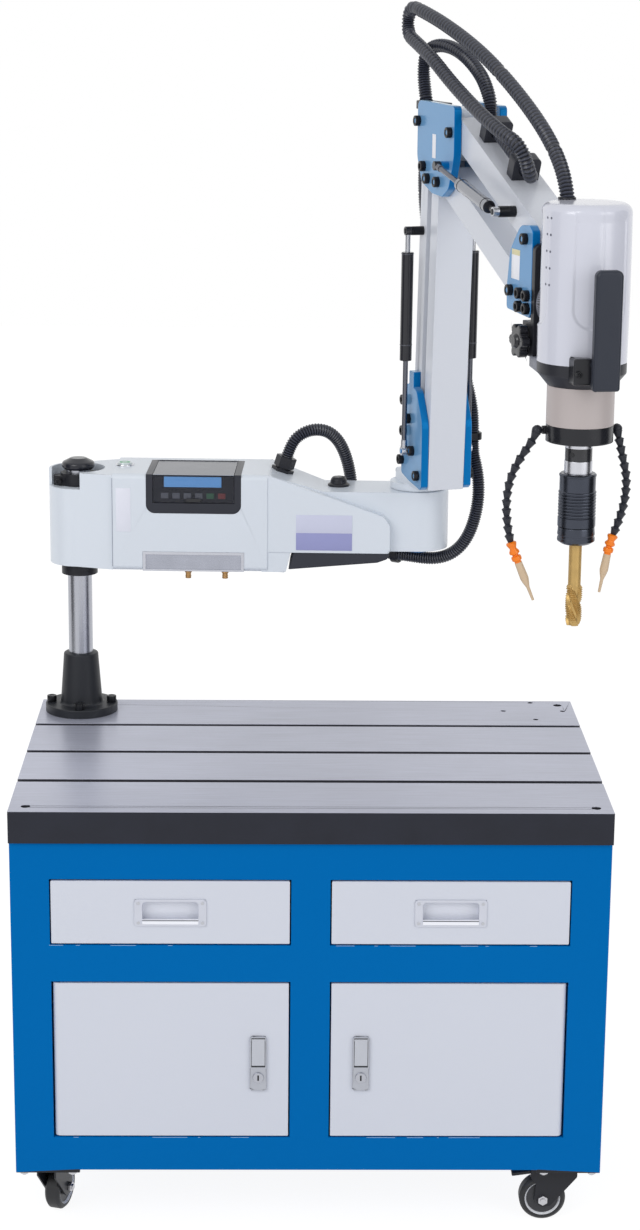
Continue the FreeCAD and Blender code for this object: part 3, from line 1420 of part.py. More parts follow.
def chuck():
    """The ribbed quick-change chuck. Its lower sleeve is a piece of its own."""
    profile = [(0, sleeve_top), (chuck_radius, sleeve_top)]
    start = sleeve_top + 14
    for i in range(chuck_ribs):
        z = start + i * chuck_rib_pitch
        profile += [(chuck_radius, z), (chuck_radius - 1.3, z + 1), (chuck_radius - 1.3, z + 2),
                    (chuck_radius, z + 3)]
    profile += [(chuck_radius - 0.8, nose_foot - 3), (chuck_radius - 3, nose_foot), (0, nose_foot)]
    body = lathe(profile, head_reach, 0)
    core = rod(chuck_radius - 8, (head_reach, 0, chuck_foot + 1), (head_reach, 0, sleeve_top + 1))
    shank = rod(spindle_radius, (head_reach, 0, nose_foot - 1), (head_reach, 0, nose_foot + 18))
    bore = rod(tap_shank_radius + pin_gap, (head_reach, 0, chuck_foot - 1),
               (head_reach, 0, sleeve_top + 20))
    return second_arm(fuse(body, core, shank).cut(bore))


def chuck_sleeve():
    top = sleeve_top - run_gap
    sleeve = lathe([(0, chuck_foot), (chuck_radius - 4, chuck_foot),
                    (chuck_lip_radius, chuck_foot + 4),
                    (chuck_lip_radius, chuck_foot + 8), (chuck_lip_radius - 0.7, chuck_foot + 9),
                    (chuck_lip_radius - 0.7, chuck_foot + 12), (chuck_lip_radius, chuck_foot + 13),
                    (chuck_radius + 0.6, top), (0, top)], head_reach, 0)
    bore = rod(chuck_radius - 8 + pin_gap, (head_reach, 0, chuck_foot - 1),
               (head_reach, 0, top + 1))
    return second_arm(sleeve.cut(bore))


def tap():
    shank_top = sleeve_top + 18
    body = lathe([(0, tap_tip), (tap_thread_radius - 3, tap_tip),
                  (tap_thread_radius, tap_tip + 10), (tap_thread_radius, tap_thread_top - 3),
                  (tap_shank_radius, tap_thread_top), (tap_shank_radius, shank_top), (0, shank_top)])
    flutes = []
    for i in range(tap_flutes):
        angle = 2 * math.pi * i / tap_flutes
        x = tap_thread_radius * math.cos(angle)
        y = tap_thread_radius * math.sin(angle)
        flutes.append(rod(4.2, (x, y, tap_tip - 1), (x, y, tap_thread_top + 6)))
    body = body.cut(flutes)
    body.translate(Vector(head_reach, 0, 0))
    return second_arm(body)


def turned(profile, start, end):
    """Revolve an outline of (radius, distance) points about the line from start to end."""
    span = end - start
    solid = lathe(profile)
    solid.Placement = Placement(start, Rotation(Vector(0, 0, 1), span))
    return solid


def jointed_hose(route, tip):
    """A coolant hose of ball-jointed segments, its locking joints and its nozzle."""
    points = [head_point(p) for p in route]
    pieces = [Part.makeSphere(hose_ball_radius, points[0])]
    for start, end in zip(points[:-1], points[1:]):
        long = (end - start).Length
        pieces.append(turned([(0, -3), (hose_narrow_radius, -3), (hose_wide_radius - 0.5, 3.5),
                              (hose_wide_radius, 6), (hose_narrow_radius + 2, long), (0, long)],
                             start, end))
    collar_start = points[-1]
    collar_end, nozzle_start, nozzle_end = [head_point(p) for p in tip]
    for start, end in ((collar_start, collar_end), (collar_end, nozzle_start)):
        long = (end - start).Length
        pieces.append(turned([(0, -3), (hose_narrow_radius, -3), (hose_wide_radius + 0.6, 4),
                              (hose_wide_radius + 0.6, long - 5), (hose_narrow_radius + 2, long),
                              (0, long)], start, end))
    long = (nozzle_end - nozzle_start).Length
    pieces.append(turned([(0, -2), (hose_narrow_radius, -2), (hose_narrow_radius + 0.8, long * 0.4),
                          (1.8, long), (0, long)], nozzle_start, nozzle_end))
    return second_arm(fuse(*pieces))


# ================================================================ conduit
def conduit(route, name):
    """A round conduit along straight runs joined by tangent arcs."""
    points = [Vector(*p) for p in route]
    radii = [0.0]
    length = 0.0
    for i in range(1, len(points) - 1):
        back = points[i] - points[i - 1]
        ahead = points[i + 1] - points[i]
        turn = back.getAngle(ahead)
        radii.append(0.45 * min(back.Length, ahead.Length) / math.tan(turn / 2))
    radii.append(0.0)
    edges = rounded_edges(points, radii, False)
    for edge in edges:
        length += edge.Length
    path = Part.Wire(edges)
    start = (points[1] - points[0]).normalize()
    section = Part.Wire(Part.makeCircle(conduit_radius, points[0], start))
    tube = path.makePipeShell([section], True, False)
    expected = math.pi * conduit_radius ** 2 * length
    smallest = sorted(r for r in radii[1:-1])[:3]
    print(name, "length", round(length), "volume ratio", round(tube.Volume / expected, 4),
          "smallest radii", [round(r) for r in smallest])
    return tube


def build():
    parts = {
        "table_plate": table_plate(),
        "cabinet_frame": cabinet_frame(),
        "pillar_post": pillar_post(),
        "post_collars": post_collars(),
        "arm_housing": arm_housing(),
        "control_panel": control_panel(),
        "panel_cover": panel_cover(),
        "power_button": power_button(),
        "port_plate": port_plate(),
        "arm_trim": arm_trim(),
        "arm_glands": arm_glands(),
        "elbow_turret": elbow_turret(),
        "turret_plates": turret_plates(),
        "column_beam_front": column_beam_front(),
        "column_beam_rear": column_beam_rear(),
        "knuckle_plates": knuckle_plates(),
        "forearm_upper": forearm_upper(),
        "forearm_lower": forearm_lower(),
        "conduit_clamps": conduit_clamps(),
        "column_spring_tubes": column_spring_tubes(),
        "column_spring_rods": column_spring_rods(),
        "forearm_spring_tube": forearm_spring_cylinder(),
        "forearm_spring_rod": forearm_spring_piston(),
        "head_plates": head_plates(),
        "head_carrier": head_carrier(),
        "lock_knob": lock_knob(),
        "head_cover": head_cover(),
        "gearbox": gearbox(),
        "head_collar": head_collar(),
        "grip_handle": grip_handle(),
        "spindle_nose": spindle_nose(),
        "chuck": chuck(),
        "chuck_sleeve": chuck_sleeve(),
        "tap": tap(),
        "coolant_hose_left": jointed_hose(left_hose_route, left_hose_tip),
        "coolant_hose_right": jointed_hose(right_hose_route, right_hose_tip),
        "conduit_arm": first_arm(conduit(arm_conduit_route, "conduit_arm")),
        "conduit_elbow": first_arm(conduit(elbow_conduit_route, "conduit_elbow")),
        "conduit_column": second_arm(conduit(column_conduit_route, "conduit_column")),
        "conduit_arch": second_arm(conduit(arch_conduit_route, "conduit_arch")),
        "conduit_loop": second_arm(conduit(loop_conduit_route, "conduit_loop")),
        "conduit_drop": second_arm(conduit(drop_conduit_route, "conduit_drop")),
    }
    for name, side in (("left", -1), ("right", 1)):
        parts["drawer_" + name] = drawer(side)
        parts["drawer_pull_" + name] = drawer_pull(side)
        parts["door_" + name] = door(side)
        parts["lock_paddle_" + name] = lock_paddle(side)
    for name in caster_turns:
        parts["caster_fork_" + name] = caster_fork(name)
        parts["caster_wheel_" + name] = caster_wheel(name)
    for name in caster_with_pedal:
        parts["caster_pedal_" + name] = caster_pedal(name)
    return parts


os.makedirs("parts", exist_ok=True)
for part_name, part_shape in build().items():
    assert part_shape.isValid(), part_name
    part_shape.exportStep("parts/" + part_name + ".step")
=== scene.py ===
import bpy
import json
import math
from mathutils import Matrix, Vector

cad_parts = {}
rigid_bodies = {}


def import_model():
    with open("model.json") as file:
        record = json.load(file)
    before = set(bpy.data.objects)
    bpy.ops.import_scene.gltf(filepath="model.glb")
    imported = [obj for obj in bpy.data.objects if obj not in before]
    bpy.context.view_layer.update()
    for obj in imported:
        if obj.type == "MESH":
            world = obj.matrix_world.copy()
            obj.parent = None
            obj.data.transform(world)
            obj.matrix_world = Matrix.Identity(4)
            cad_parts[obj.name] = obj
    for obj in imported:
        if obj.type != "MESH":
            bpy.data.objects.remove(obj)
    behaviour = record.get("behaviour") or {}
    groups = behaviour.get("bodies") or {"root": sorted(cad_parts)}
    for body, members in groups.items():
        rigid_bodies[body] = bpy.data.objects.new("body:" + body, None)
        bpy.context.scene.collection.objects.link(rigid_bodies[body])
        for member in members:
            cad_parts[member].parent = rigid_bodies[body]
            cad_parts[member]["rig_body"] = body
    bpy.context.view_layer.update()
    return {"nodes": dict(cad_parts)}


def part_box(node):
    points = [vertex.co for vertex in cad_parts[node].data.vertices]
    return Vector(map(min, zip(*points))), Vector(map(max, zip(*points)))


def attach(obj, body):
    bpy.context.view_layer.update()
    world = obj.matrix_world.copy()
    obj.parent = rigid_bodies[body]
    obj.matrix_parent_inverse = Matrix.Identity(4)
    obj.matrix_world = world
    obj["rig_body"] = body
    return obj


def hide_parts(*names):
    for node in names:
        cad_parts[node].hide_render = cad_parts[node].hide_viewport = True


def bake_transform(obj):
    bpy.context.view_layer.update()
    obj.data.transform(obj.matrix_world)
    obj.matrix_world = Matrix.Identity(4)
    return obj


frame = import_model()
nodes = frame["nodes"]

# ================================================================ studio
# A seamless pale floor in a white surround, two large soft lamps, and two dark cards at the
# sides that only polished metal sees. The camera stands before the table at head height.
scene = bpy.context.scene
scene.view_settings.view_transform = "Standard"
bpy.ops.object.select_all(action="DESELECT")

front_view = bpy.data.cameras.new("front_view")
front_view.sensor_fit = "VERTICAL"
front_view.sensor_height = 36.0
front_view.lens = 74.43
front_view.clip_end = 60.0
camera = bpy.data.objects.new("front_view", front_view)
scene.collection.objects.link(camera)
view_right = Vector((0.99984, -0.0155, 0.00873)).normalized()
view_line = Vector((0.01716, 0.96951, -0.2445)).normalized()
view_up = view_right.cross(view_line).normalized()
stand_point = Vector((-0.05364, -3.87623, 1.88332))
camera.matrix_world = Matrix((
    (view_right.x, view_up.x, -view_line.x, stand_point.x),
    (view_right.y, view_up.y, -view_line.y, stand_point.y),
    (view_right.z, view_up.z, -view_line.z, stand_point.z),
    (0.0, 0.0, 0.0, 1.0)))
scene.camera = camera


def tone(red, green, blue):
    """A colour given from 0 to 255 as it should show, as the linear colour a shader takes."""
    return tuple((c / 255 / 12.92) if c / 255 <= 0.04045 else ((c / 255 + 0.055) / 1.055) ** 2.4
                 for c in (red, green, blue)) + (1.0,)


def fill(node, values):
    """Sets a node's inputs, by name or number. A value that is a socket is linked."""
    for key, value in values.items():
        if isinstance(value, bpy.types.NodeSocket):
            node.id_data.links.new(value, node.inputs[key])
        else:
            node.inputs[key].default_value = value


def add(tree, kind, values={}, **settings):
    """A shader node with its settings and the values of its inputs."""
    node = tree.nodes.new(kind)
    for key, value in settings.items():
        setattr(node, key, value)
    fill(node, values)
    return node


def maths(tree, operation, *values, use_clamp=False):
    """The result of one operation on sockets and numbers."""
    return add(tree, "ShaderNodeMath", dict(enumerate(values)), operation=operation,
               use_clamp=use_clamp).outputs[0]


white = (1.0, 1.0, 1.0, 1.0)
surround_level = 0.66
surround = bpy.data.worlds.new("surround")
scene.world = surround
surround.use_nodes = True
tree = surround.node_tree
tree.nodes.clear()
rays = add(tree, "ShaderNodeLightPath").outputs
mirrored = maths(tree, "ADD", rays["Is Glossy Ray"], rays["Is Transmission Ray"], use_clamp=True)
seen = maths(tree, "ADD", rays["Is Camera Ray"], mirrored, use_clamp=True)
level = add(tree, "ShaderNodeMix", {
    "A": (surround_level, surround_level, surround_level * 1.02, 1.0), "B": white, "Factor": seen},
    data_type="RGBA")
sky = add(tree, "ShaderNodeBackground", {"Color": level.outputs["Result"]})
add(tree, "ShaderNodeOutputWorld", {"Surface": sky.outputs[0]})

bpy.ops.mesh.primitive_plane_add(size=16.0, location=(0.0, 2.0, 0.0))
floor = bpy.context.object
floor.name = "studio_floor"
floor_paint = bpy.data.materials.new("pale_floor")
floor_paint.use_nodes = True
tree = floor_paint.node_tree
tree.nodes.clear()
rays = add(tree, "ShaderNodeLightPath").outputs
seen = maths(tree, "ADD", rays["Is Camera Ray"], rays["Is Glossy Ray"], use_clamp=True)
matt = add(tree, "ShaderNodeBsdfDiffuse", {"Color": (0.93, 0.93, 0.94, 1.0)})
glow = add(tree, "ShaderNodeEmission", {"Color": white, "Strength": 1.14})
both = add(tree, "ShaderNodeMixShader", {
    "Fac": maths(tree, "MULTIPLY", seen, 0.8), 1: matt.outputs[0], 2: glow.outputs[0]})
add(tree, "ShaderNodeOutputMaterial", {"Surface": both.outputs[0]})
floor.data.materials.append(floor_paint)

card_black = bpy.data.materials.new("card_black")
card_black.use_nodes = True
fill(card_black.node_tree.nodes["Principled BSDF"],
     {"Base Color": (0.02, 0.02, 0.024, 1.0), "Roughness": 0.9})
for name, card_x in (("studio_card_left", -2.4), ("studio_card_right", 2.4)):
    bpy.ops.mesh.primitive_plane_add(size=1.0, location=(card_x, -0.4, 1.4),
                                     rotation=(0.0, math.pi / 2, 0.0))
    card = bpy.context.object
    card.name = name
    card.scale = (2.4, 1.5, 1.0)
    card.data.materials.append(card_black)
    card.visible_camera = False
    card.visible_diffuse = False
    card.visible_shadow = False
    card.visible_transmission = False


def soft_lamp(name, place, target, width, power):
    """A square area lamp at a place, turned to a target."""
    lamp = bpy.data.lights.new(name, "AREA")
    lamp.shape = "SQUARE"
    lamp.size = width
    lamp.energy = power
    holder = bpy.data.objects.new(name, lamp)
    scene.collection.objects.link(holder)
    holder.location = place
    holder.rotation_euler = (Vector(target) - Vector(place)).to_track_quat("-Z", "Y").to_euler()


soft_lamp("key_lamp", (-2.6, -3.6, 3.6), (0.0, 0.0, 1.0), 2.6, 74.0)
soft_lamp("fill_lamp", (3.2, -3.2, 2.2), (0.0, 0.0, 0.9), 2.4, 34.0)

# ================================================================ conduit
# One black corrugated nylon conduit, 21 mm across, carries the motor's cables. It leaves a
# gland on the first arm, arches over both elbows and ends in the top of the head's cover.
mm = 0.001
first_arm_place = (Matrix.Translation((-0.38, 0.24, 0.0))
                   @ Matrix.Rotation(math.radians(-2.155), 4, "Z"))
second_arm_place = (Matrix.Translation((0.178005, 0.219002, 0.0))
                    @ Matrix.Rotation(math.radians(-73.0), 4, "Z"))
conduit_radius = 10.5 * mm
conduit_pitch = 4.0 * mm
wide_pitch = 4.8 * mm
conduit_groove = 2.3 * mm


def first_arm(x, y, z):
    """A point given in millimetres along the first arm, across it and above the floor."""
    return first_arm_place @ Vector((x * mm, y * mm, z * mm))


def second_arm(x, y, z):
    """A point given in millimetres along the second arm, across it and above the floor."""
    return second_arm_place @ Vector((x * mm, y * mm, z * mm))


def select_only(piece):
    """Makes one piece the only selected one, as the operators need."""
    bpy.ops.object.select_all(action="DESELECT")
    piece.select_set(True)
    bpy.context.view_layer.objects.active = piece


def edited(piece, *steps):
    """Runs each step on the whole of a piece's mesh in edit mode."""
    select_only(piece)
    bpy.ops.object.mode_set(mode="EDIT")
    for step in steps:
        bpy.ops.mesh.select_all(action="SELECT")
        step()
    bpy.ops.object.mode_set(mode="OBJECT")
    return piece


def turn_faces_out():
    """A step for `edited` that turns every face outwards."""
    bpy.ops.mesh.normals_make_consistent(inside=False)


def smoothed(piece, degrees=32):
    """Shades a piece smooth, but not over edges that are sharper than an angle."""
    select_only(piece)
    bpy.ops.object.shade_smooth_by_angle(angle=math.radians(degrees))
    return piece


def built(name, corners, faces, edges=()):
    """A piece from its corners and faces."""
    mesh = bpy.data.meshes.new(name)
    mesh.from_pydata([tuple(corner) for corner in corners], edges, faces)
    mesh.update()
    piece = bpy.data.objects.new(name, mesh)
    scene.collection.objects.link(piece)
    select_only(piece)
    return piece


def tube_faces(rings, sides):
    """The faces of a closed tube whose corners are given ring by ring."""
    faces = [(a + k, a + (k + 1) % sides, a + sides + (k + 1) % sides, a + sides + k)
             for a in range(0, (rings - 1) * sides, sides) for k in range(sides)]
    faces.append(tuple(range(sides))[::-1])
    faces.append(tuple(range((rings - 1) * sides, rings * sides)))
    return faces


def surface_group(name, inputs):
    """A node group for a material's surface, the sockets it is given and the piece's own place."""
    group = bpy.data.node_groups.new(name, "ShaderNodeTree")
    kinds = {"Colour": "NodeSocketColor", "Stretch": "NodeSocketVector", "Normal": "NodeSocketVector"}
    for label, value in inputs.items():
        group.interface.new_socket(label, in_out="INPUT", socket_type=kinds.get(label, "NodeSocketFloat")
                                   ).default_value = value
    for label in ("Colour", "Roughness", "Normal"):
        group.interface.new_socket(label, in_out="OUTPUT", socket_type=kinds.get(label, "NodeSocketFloat"))
    given = add(group, "NodeGroupInput").outputs
    return group, given, add(group, "ShaderNodeTexCoord").outputs["Object"]


def shaded(group, colour, amount):
    """A colour made lighter or darker by an amount."""
    return add(group, "ShaderNodeVectorMath", {0: colour, "Scale": amount}, operation="SCALE").outputs[0]


def handled_surface():
    """Colour that drifts a little, a fine grain and patchy gloss, as paint and mouldings have."""
    group, given, place = surface_group("handled_surface", {
        "Colour": (0.5, 0.5, 0.5, 1.0), "Drift": 0.04, "Drift Scale": 6.0, "Grain": 0.1,
        "Grain Scale": 700.0, "Roughness": 0.4, "Patchiness": 0.06})
    clouds = add(group, "ShaderNodeTexNoise", {
        "Detail": 4.0, "Vector": place, "Scale": given["Drift Scale"]})
    centred = maths(group, "SUBTRACT", clouds.outputs["Fac"], 0.5)
    specks = add(group, "ShaderNodeTexNoise", {
        "Detail": 2.0, "Vector": place, "Scale": given["Grain Scale"]})
    relief = add(group, "ShaderNodeBump", {
        "Distance": 0.0004, "Height": specks.outputs["Fac"], "Strength": given["Grain"]})
    add(group, "NodeGroupOutput", {
        "Colour": shaded(group, given["Colour"], maths(group, "MULTIPLY_ADD", centred, given["Drift"], 1.0)),
        "Roughness": maths(group, "MULTIPLY_ADD", centred, given["Patchiness"], given["Roughness"]),
        "Normal": relief.outputs["Normal"]})
    return group


def surfaced(name, group, values, shader_values):
    """A material that takes colour, gloss and relief from a node group."""
    material = bpy.data.materials.new(name)
    material.use_nodes = True
    given = add(material.node_tree, "ShaderNodeGroup", values, node_tree=group).outputs
    shader = material.node_tree.nodes["Principled BSDF"]
    fill(shader, {"Base Color": given["Colour"], "Roughness": given["Roughness"], "Normal": given["Normal"]})
    fill(shader, shader_values)
    return material


def surface_of(material):
    """The group node that gives a material its surface."""
    return next(node for node in material.node_tree.nodes if node.type == "GROUP")


handled = handled_surface()


def finish(name, colour, roughness, drift=0.06, drift_scale=6.0, grain=0.1, grain_scale=700.0,
           patchiness=0.08, metallic=0.0, coat=0.0, coat_roughness=0.1, specular=0.5, sheen=white):
    """A paint, moulding or casting whose colour, gloss and relief all vary a little."""
    return surfaced(name, handled, {
        "Colour": tone(*colour), "Drift": drift, "Drift Scale": drift_scale, "Grain": grain,
        "Grain Scale": grain_scale, "Roughness": roughness, "Patchiness": patchiness}, {
        "Metallic": metallic, "Coat Weight": coat, "Coat Roughness": coat_roughness,
        "Specular IOR Level": specular, "Specular Tint": sheen})


def dark_finish(name, colour, roughness, **others):
    """A finish for a near-black part, which mirrors its surroundings less."""
    return finish(name, colour, roughness, specular=0.26, **others)


conduit_nylon = finish("conduit_nylon", (46, 47, 54), 0.34, drift=0.1, drift_scale=30.0, grain=0.05)
# One black nylon, but the grooves are painted near black as painted shade and the crests grey as a painted
# highlight, mixed by each ring's rib share.
crest_highlight_share = add(conduit_nylon.node_tree, "ShaderNodeAttribute", attribute_name="rib")
groove_shade_crest_highlight = add(conduit_nylon.node_tree, "ShaderNodeMix", {
    "A": tone(3, 3, 5), "B": tone(68, 72, 86), "Factor": crest_highlight_share.outputs["Fac"]}, data_type="RGBA")
fill(surface_of(conduit_nylon), {"Colour": groove_shade_crest_highlight.outputs["Result"]})


def centreline(name, points):
    """The conduit's line: a NURBS spline over the route's points, read back as points."""
    line = bpy.data.curves.new(name + "_line", "CURVE")
    line.dimensions = "3D"
    line.resolution_u = 20
    spline = line.splines.new("NURBS")
    spline.points.add(len(points) - 1)
    for node, point in zip(spline.points, points):
        node.co = (point[0], point[1], point[2], 1.0)
    spline.order_u = 3
    spline.use_endpoint_u = True
    carrier = bpy.data.objects.new(name + "_line", line)
    scene.collection.objects.link(carrier)
    bpy.context.view_layer.update()
    mesh = bpy.data.meshes.new_from_object(carrier)
    read = [vertex.co.copy() for vertex in mesh.vertices]
    bpy.data.objects.remove(carrier)
    bpy.data.meshes.remove(mesh)
    return read


conduit_middle = Vector((0.25, 0.0, 1.72))
sight = (conduit_middle - camera.location).normalized()
least_share = 0.42


def along_line(points, spacing):
    """Points along a line. The spacing is even across the line of sight and opens where the
    line runs away from the camera."""
    lengths = [0.0]
    for before, after in zip(points, points[1:]):
        step = after - before
        across = (step - sight * step.dot(sight)).length
        lengths.append(lengths[-1] + max(across, step.length * least_share))
    count = max(2, round(lengths[-1] / spacing))
    spread = []
    k = 0
    for i in range(count + 1):
        distance = lengths[-1] * i / count
        while k < len(points) - 2 and lengths[k + 1] < distance:
            k += 1
        span = lengths[k + 1] - lengths[k]
        spread.append(points[k].lerp(points[k + 1], (distance - lengths[k]) / span if span else 0.0))
    return spread


def ribbed_tube(name, points, pitch=conduit_pitch):
    """A corrugated tube along a line: four rings of sixteen points to each rib."""
    rings = along_line(points, pitch / 4)
    sides = 16
    corners = []
    shares = []
    across = None
    for i, centre in enumerate(rings):
        ahead = (rings[min(i + 1, len(rings) - 1)] - rings[max(i - 1, 0)]).normalized()
        if across is None:
            across = ahead.orthogonal().normalized()
        across = (across - ahead * across.dot(ahead)).normalized()
        other = ahead.cross(across)
        share = (1.0, 0.5, 0.0, 0.5)[i % 4] if 0 < i < len(rings) - 1 else 0.5
        radius = conduit_radius - conduit_groove * (1.0 - share)
        for k in range(sides):
            angle = 2 * math.pi * k / sides
            corners.append(centre + (across * math.cos(angle) + other * math.sin(angle)) * radius)
            shares.append(share)
    tube = built(name, corners, tube_faces(len(rings), sides))
    # The rib share also sets the painted shade in the grooves and the painted highlight on the crests.
    tube.data.attributes.new("rib", "FLOAT", "POINT").data.foreach_set("value", shares)
    tube.data.materials.append(conduit_nylon)
    smoothed(tube, 60)
    return tube


arm_route = [
    (342.621, 10.001, 1114.22), (349.727, 10.001, 1136.52), (365.666, 15.761, 1152.0),
    (387.331, 25.083, 1158.0), (409.882, 37.439, 1152.5), (427.418, 50.108, 1134.0),
    (439.071, 59.553, 1107.0), (446.34, 65.83, 1076.0), (449.706, 69.459, 1042.0),
    (451.648, 71.034, 1008.0), (457.182, 70.241, 978.0), (467.881, 65.14, 957.5),
    (483.19, 57.21, 948.5), (503.609, 46.47, 947.5), (525.083, 34.269, 947.5)]
elbow_route = [
    (525.083, 34.269, 947.5), (546.557, 22.068, 947.5), (568.992, 10.904, 946.5),
    (591.409, 0.239, 948.5), (612.77, -8.964, 957.0), (630.578, -16.8, 973.5),
    (643.332, -23.325, 996.5), (651.514, -28.021, 1024.0), (656.124, -30.85, 1053.0),
    (656.162, -31.849, 1082.0), (652.153, -31.7, 1109.0), (645.113, -30.223, 1134.0),
    (645.113, -30.223, 1160.0)]
column_route = [
    (57.0, 72.0, 1160.0), (57.0, 72.0, 1186.0), (53.5, 69.0, 1215.0),
    (47.5, 62.5, 1249.0), (39.5, 52.5, 1289.0), (31.0, 41.0, 1332.0),
    (23.5, 29.0, 1377.0), (18.0, 17.5, 1422.0), (15.5, 7.0, 1468.0),
    (17.5, -2.5, 1516.0), (27.0, -9.0, 1560.0), (41.5, -13.5, 1597.0),
    (54.5, -15.5, 1629.0), (62.5, -16.0, 1660.4), (46.5, -16.0, 1696.999)]
arch_route = [
    (46.48, -16.0, 1697.045), (36.867, -16.0, 1719.036), (31.5, -15.5, 1742.0),
    (36.0, -14.5, 1759.5), (53.0, -13.5, 1771.5), (78.0, -12.0, 1777.5),
    (112.0, -10.0, 1778.5), (150.0, -8.0, 1774.5), (188.0, -6.0, 1765.0),
    (224.0, -4.0, 1750.5), (250.0, -1.0, 1733.5), (265.5, 1.0, 1715.0),
    (271.8, 2.5, 1701.5), (273.6, 2.5, 1690.4), (276.8, 1.0, 1680.1),
    (283.9, 0.0, 1672.17), (294.254, 0.0, 1667.819)]
loop_route = [
    (294.3, 0.0, 1667.8), (425.0, 0.0, 1612.877), (444.1, 0.0, 1604.85),
    (459.0, -8.0, 1607.0), (470.6, -15.8, 1616.5), (475.6, -22.2, 1630.6),
    (472.7, -28.5, 1645.2), (462.7, -34.8, 1656.3), (436.7, -40.0, 1663.7),
    (388.5, -42.5, 1677.0), (305.4, -40.0, 1699.0), (214.77, -38.959, 1728.227),
    (141.515, -41.516, 1760.011), (68.068, -36.196, 1777.458), (29.068, -33.696, 1786.258),
    (12.468, -31.996, 1790.058), (3.468, -31.496, 1798.158), (-0.432, -31.096, 1809.558),
    (1.2, -30.6, 1819.9), (8.2, -30.3, 1829.6), (20.95, -29.31, 1834.77),
    (44.668, -29.196, 1831.058)]
drop_route = [
    (44.717, -29.196, 1831.05), (83.34, -29.01, 1825.005), (148.398, -26.7, 1811.8),
    (225.675, -21.9, 1791.218), (302.953, -18.563, 1767.405), (369.448, -15.622, 1741.414),
    (430.0, -14.0, 1716.0), (486.0, -13.5, 1690.5), (531.0, -13.0, 1666.0),
    (564.0, -12.5, 1642.5), (587.0, -12.0, 1619.0), (600.996, -12.0, 1595.001),
    (604.5, -12.0, 1583.0)]


def split_at(points, distance):
    """Two lines from one, cut at a distance from its start."""
    walked = 0.0
    for i in range(1, len(points)):
        walked += (points[i] - points[i - 1]).length
        if walked >= distance:
            return points[:i + 1], points[i:]


arm_line = centreline("arm", [first_arm(*p) for p in arm_route])
elbow_line = centreline("elbow", [first_arm(*p) for p in elbow_route])
column_line = centreline("column", [second_arm(*p) for p in column_route])
arch_line = centreline("arch", [second_arm(*p) for p in arch_route])
loop_line = centreline("loop", [second_arm(*p) for p in loop_route])
drop_line = centreline("drop", [second_arm(*p) for p in drop_route])
column_foot, column_head = split_at(column_line, 0.4)
drop_rear, drop_rest = split_at(drop_line, 0.32)
drop_back, drop_end = split_at(drop_rest, 0.22)
fold_front = second_arm(294.3, 0.0, 1667.8)
fold_rear = second_arm(0.0, -30.0, 1830.0)

conduit_arm = ribbed_tube("conduit_from_gland", arm_line)
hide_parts("conduit_arm")
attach(conduit_arm, "first_arm")
# Each other length is drawn along its line as it lies here and baked in place, not attached to a body.
# The bodies that hold its ends and its two ends are listed with it but not used.
for name, node, line, pitch, held, start, end in (
        ("conduit_under_elbow", "conduit_elbow", elbow_line, conduit_pitch,
         ("first_arm", "turret"), elbow_line[0], elbow_line[-1]),
        ("conduit_column_foot", "conduit_column", column_foot, conduit_pitch,
         ("turret", "column_rear"), column_foot[0], column_foot[-1]),
        ("conduit_column_head", "conduit_column", column_head, conduit_pitch,
         ("column_rear", "knuckle"), column_head[0], column_head[-1]),
        ("conduit_over_knuckle", "conduit_arch", arch_line, conduit_pitch,
         ("knuckle", "forearm_upper"), arch_line[0], arch_line[-1]),
        ("conduit_fold", "conduit_loop", loop_line, wide_pitch,
         ("forearm_upper", "knuckle"), fold_front, fold_rear),
        ("conduit_from_fold", "conduit_drop", drop_rear, wide_pitch,
         ("forearm_upper", "knuckle"), fold_front, fold_rear),
        ("conduit_over_forearm", "conduit_drop", drop_back, wide_pitch,
         ("forearm_upper", "head_bracket"), drop_back[0], drop_back[-1]),
        ("conduit_into_head", "conduit_drop", drop_end, wide_pitch,
         ("head_bracket", "head"), drop_end[0], drop_end[-1])):
    tube = ribbed_tube(name, line, pitch)
    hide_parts(node)
    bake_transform(tube)

# ================================================================ cabinet
# A welded sheet steel tool cabinet in blue enamel: a frame of wide rails round two drawers
# and two doors, with a black caster plate under each corner.
def softened(name, node, width, segments=2, whole=False):
    """A copy of a CAD solid with its edges broken, as paint, dies and files leave them. With
    whole, the triangles of each flat face are first made one."""
    piece = bpy.data.objects.new(name, nodes[node].data.copy())
    scene.collection.objects.link(piece)
    select_only(piece)
    bpy.ops.mesh.customdata_custom_splitnormals_clear()

    def merge():
        bpy.ops.mesh.remove_doubles(threshold=0.00002)
        if whole:
            bpy.ops.mesh.dissolve_limited(angle_limit=math.radians(0.3))

    edited(piece, merge)
    piece.data.materials.clear()
    if width:
        mesh = piece.data
        beside = {}
        for face in mesh.polygons:
            for key in face.edge_keys:
                beside.setdefault(key, []).append(face)
        limit = math.cos(math.radians(35.0))
        weights = []
        for edge in mesh.edges:
            pair = beside.get(tuple(sorted(edge.vertices)), [])
            outer = (len(pair) == 2 and pair[0].normal.dot(pair[1].normal) < limit
                     and (pair[1].center - pair[0].center).dot(pair[0].normal) < 0)
            weights.append(1.0 if outer else 0.0)
        mesh.attributes.new("bevel_weight_edge", "FLOAT", "EDGE").data.foreach_set("value", weights)
        bevel = piece.modifiers.new("edges", "BEVEL")
        bevel.width = width * mm
        bevel.segments = segments
        bevel.limit_method = "WEIGHT"
        bevel.use_clamp_overlap = False
        bpy.ops.object.modifier_apply(modifier="edges")
    smoothed(piece)
    weighted = piece.modifiers.new("flat faces", "WEIGHTED_NORMAL")
    weighted.weight = 100
    weighted.keep_sharp = True
    bpy.ops.object.modifier_apply(modifier="flat faces")
    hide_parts(node)
    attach(piece, nodes[node]["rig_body"])
    return piece


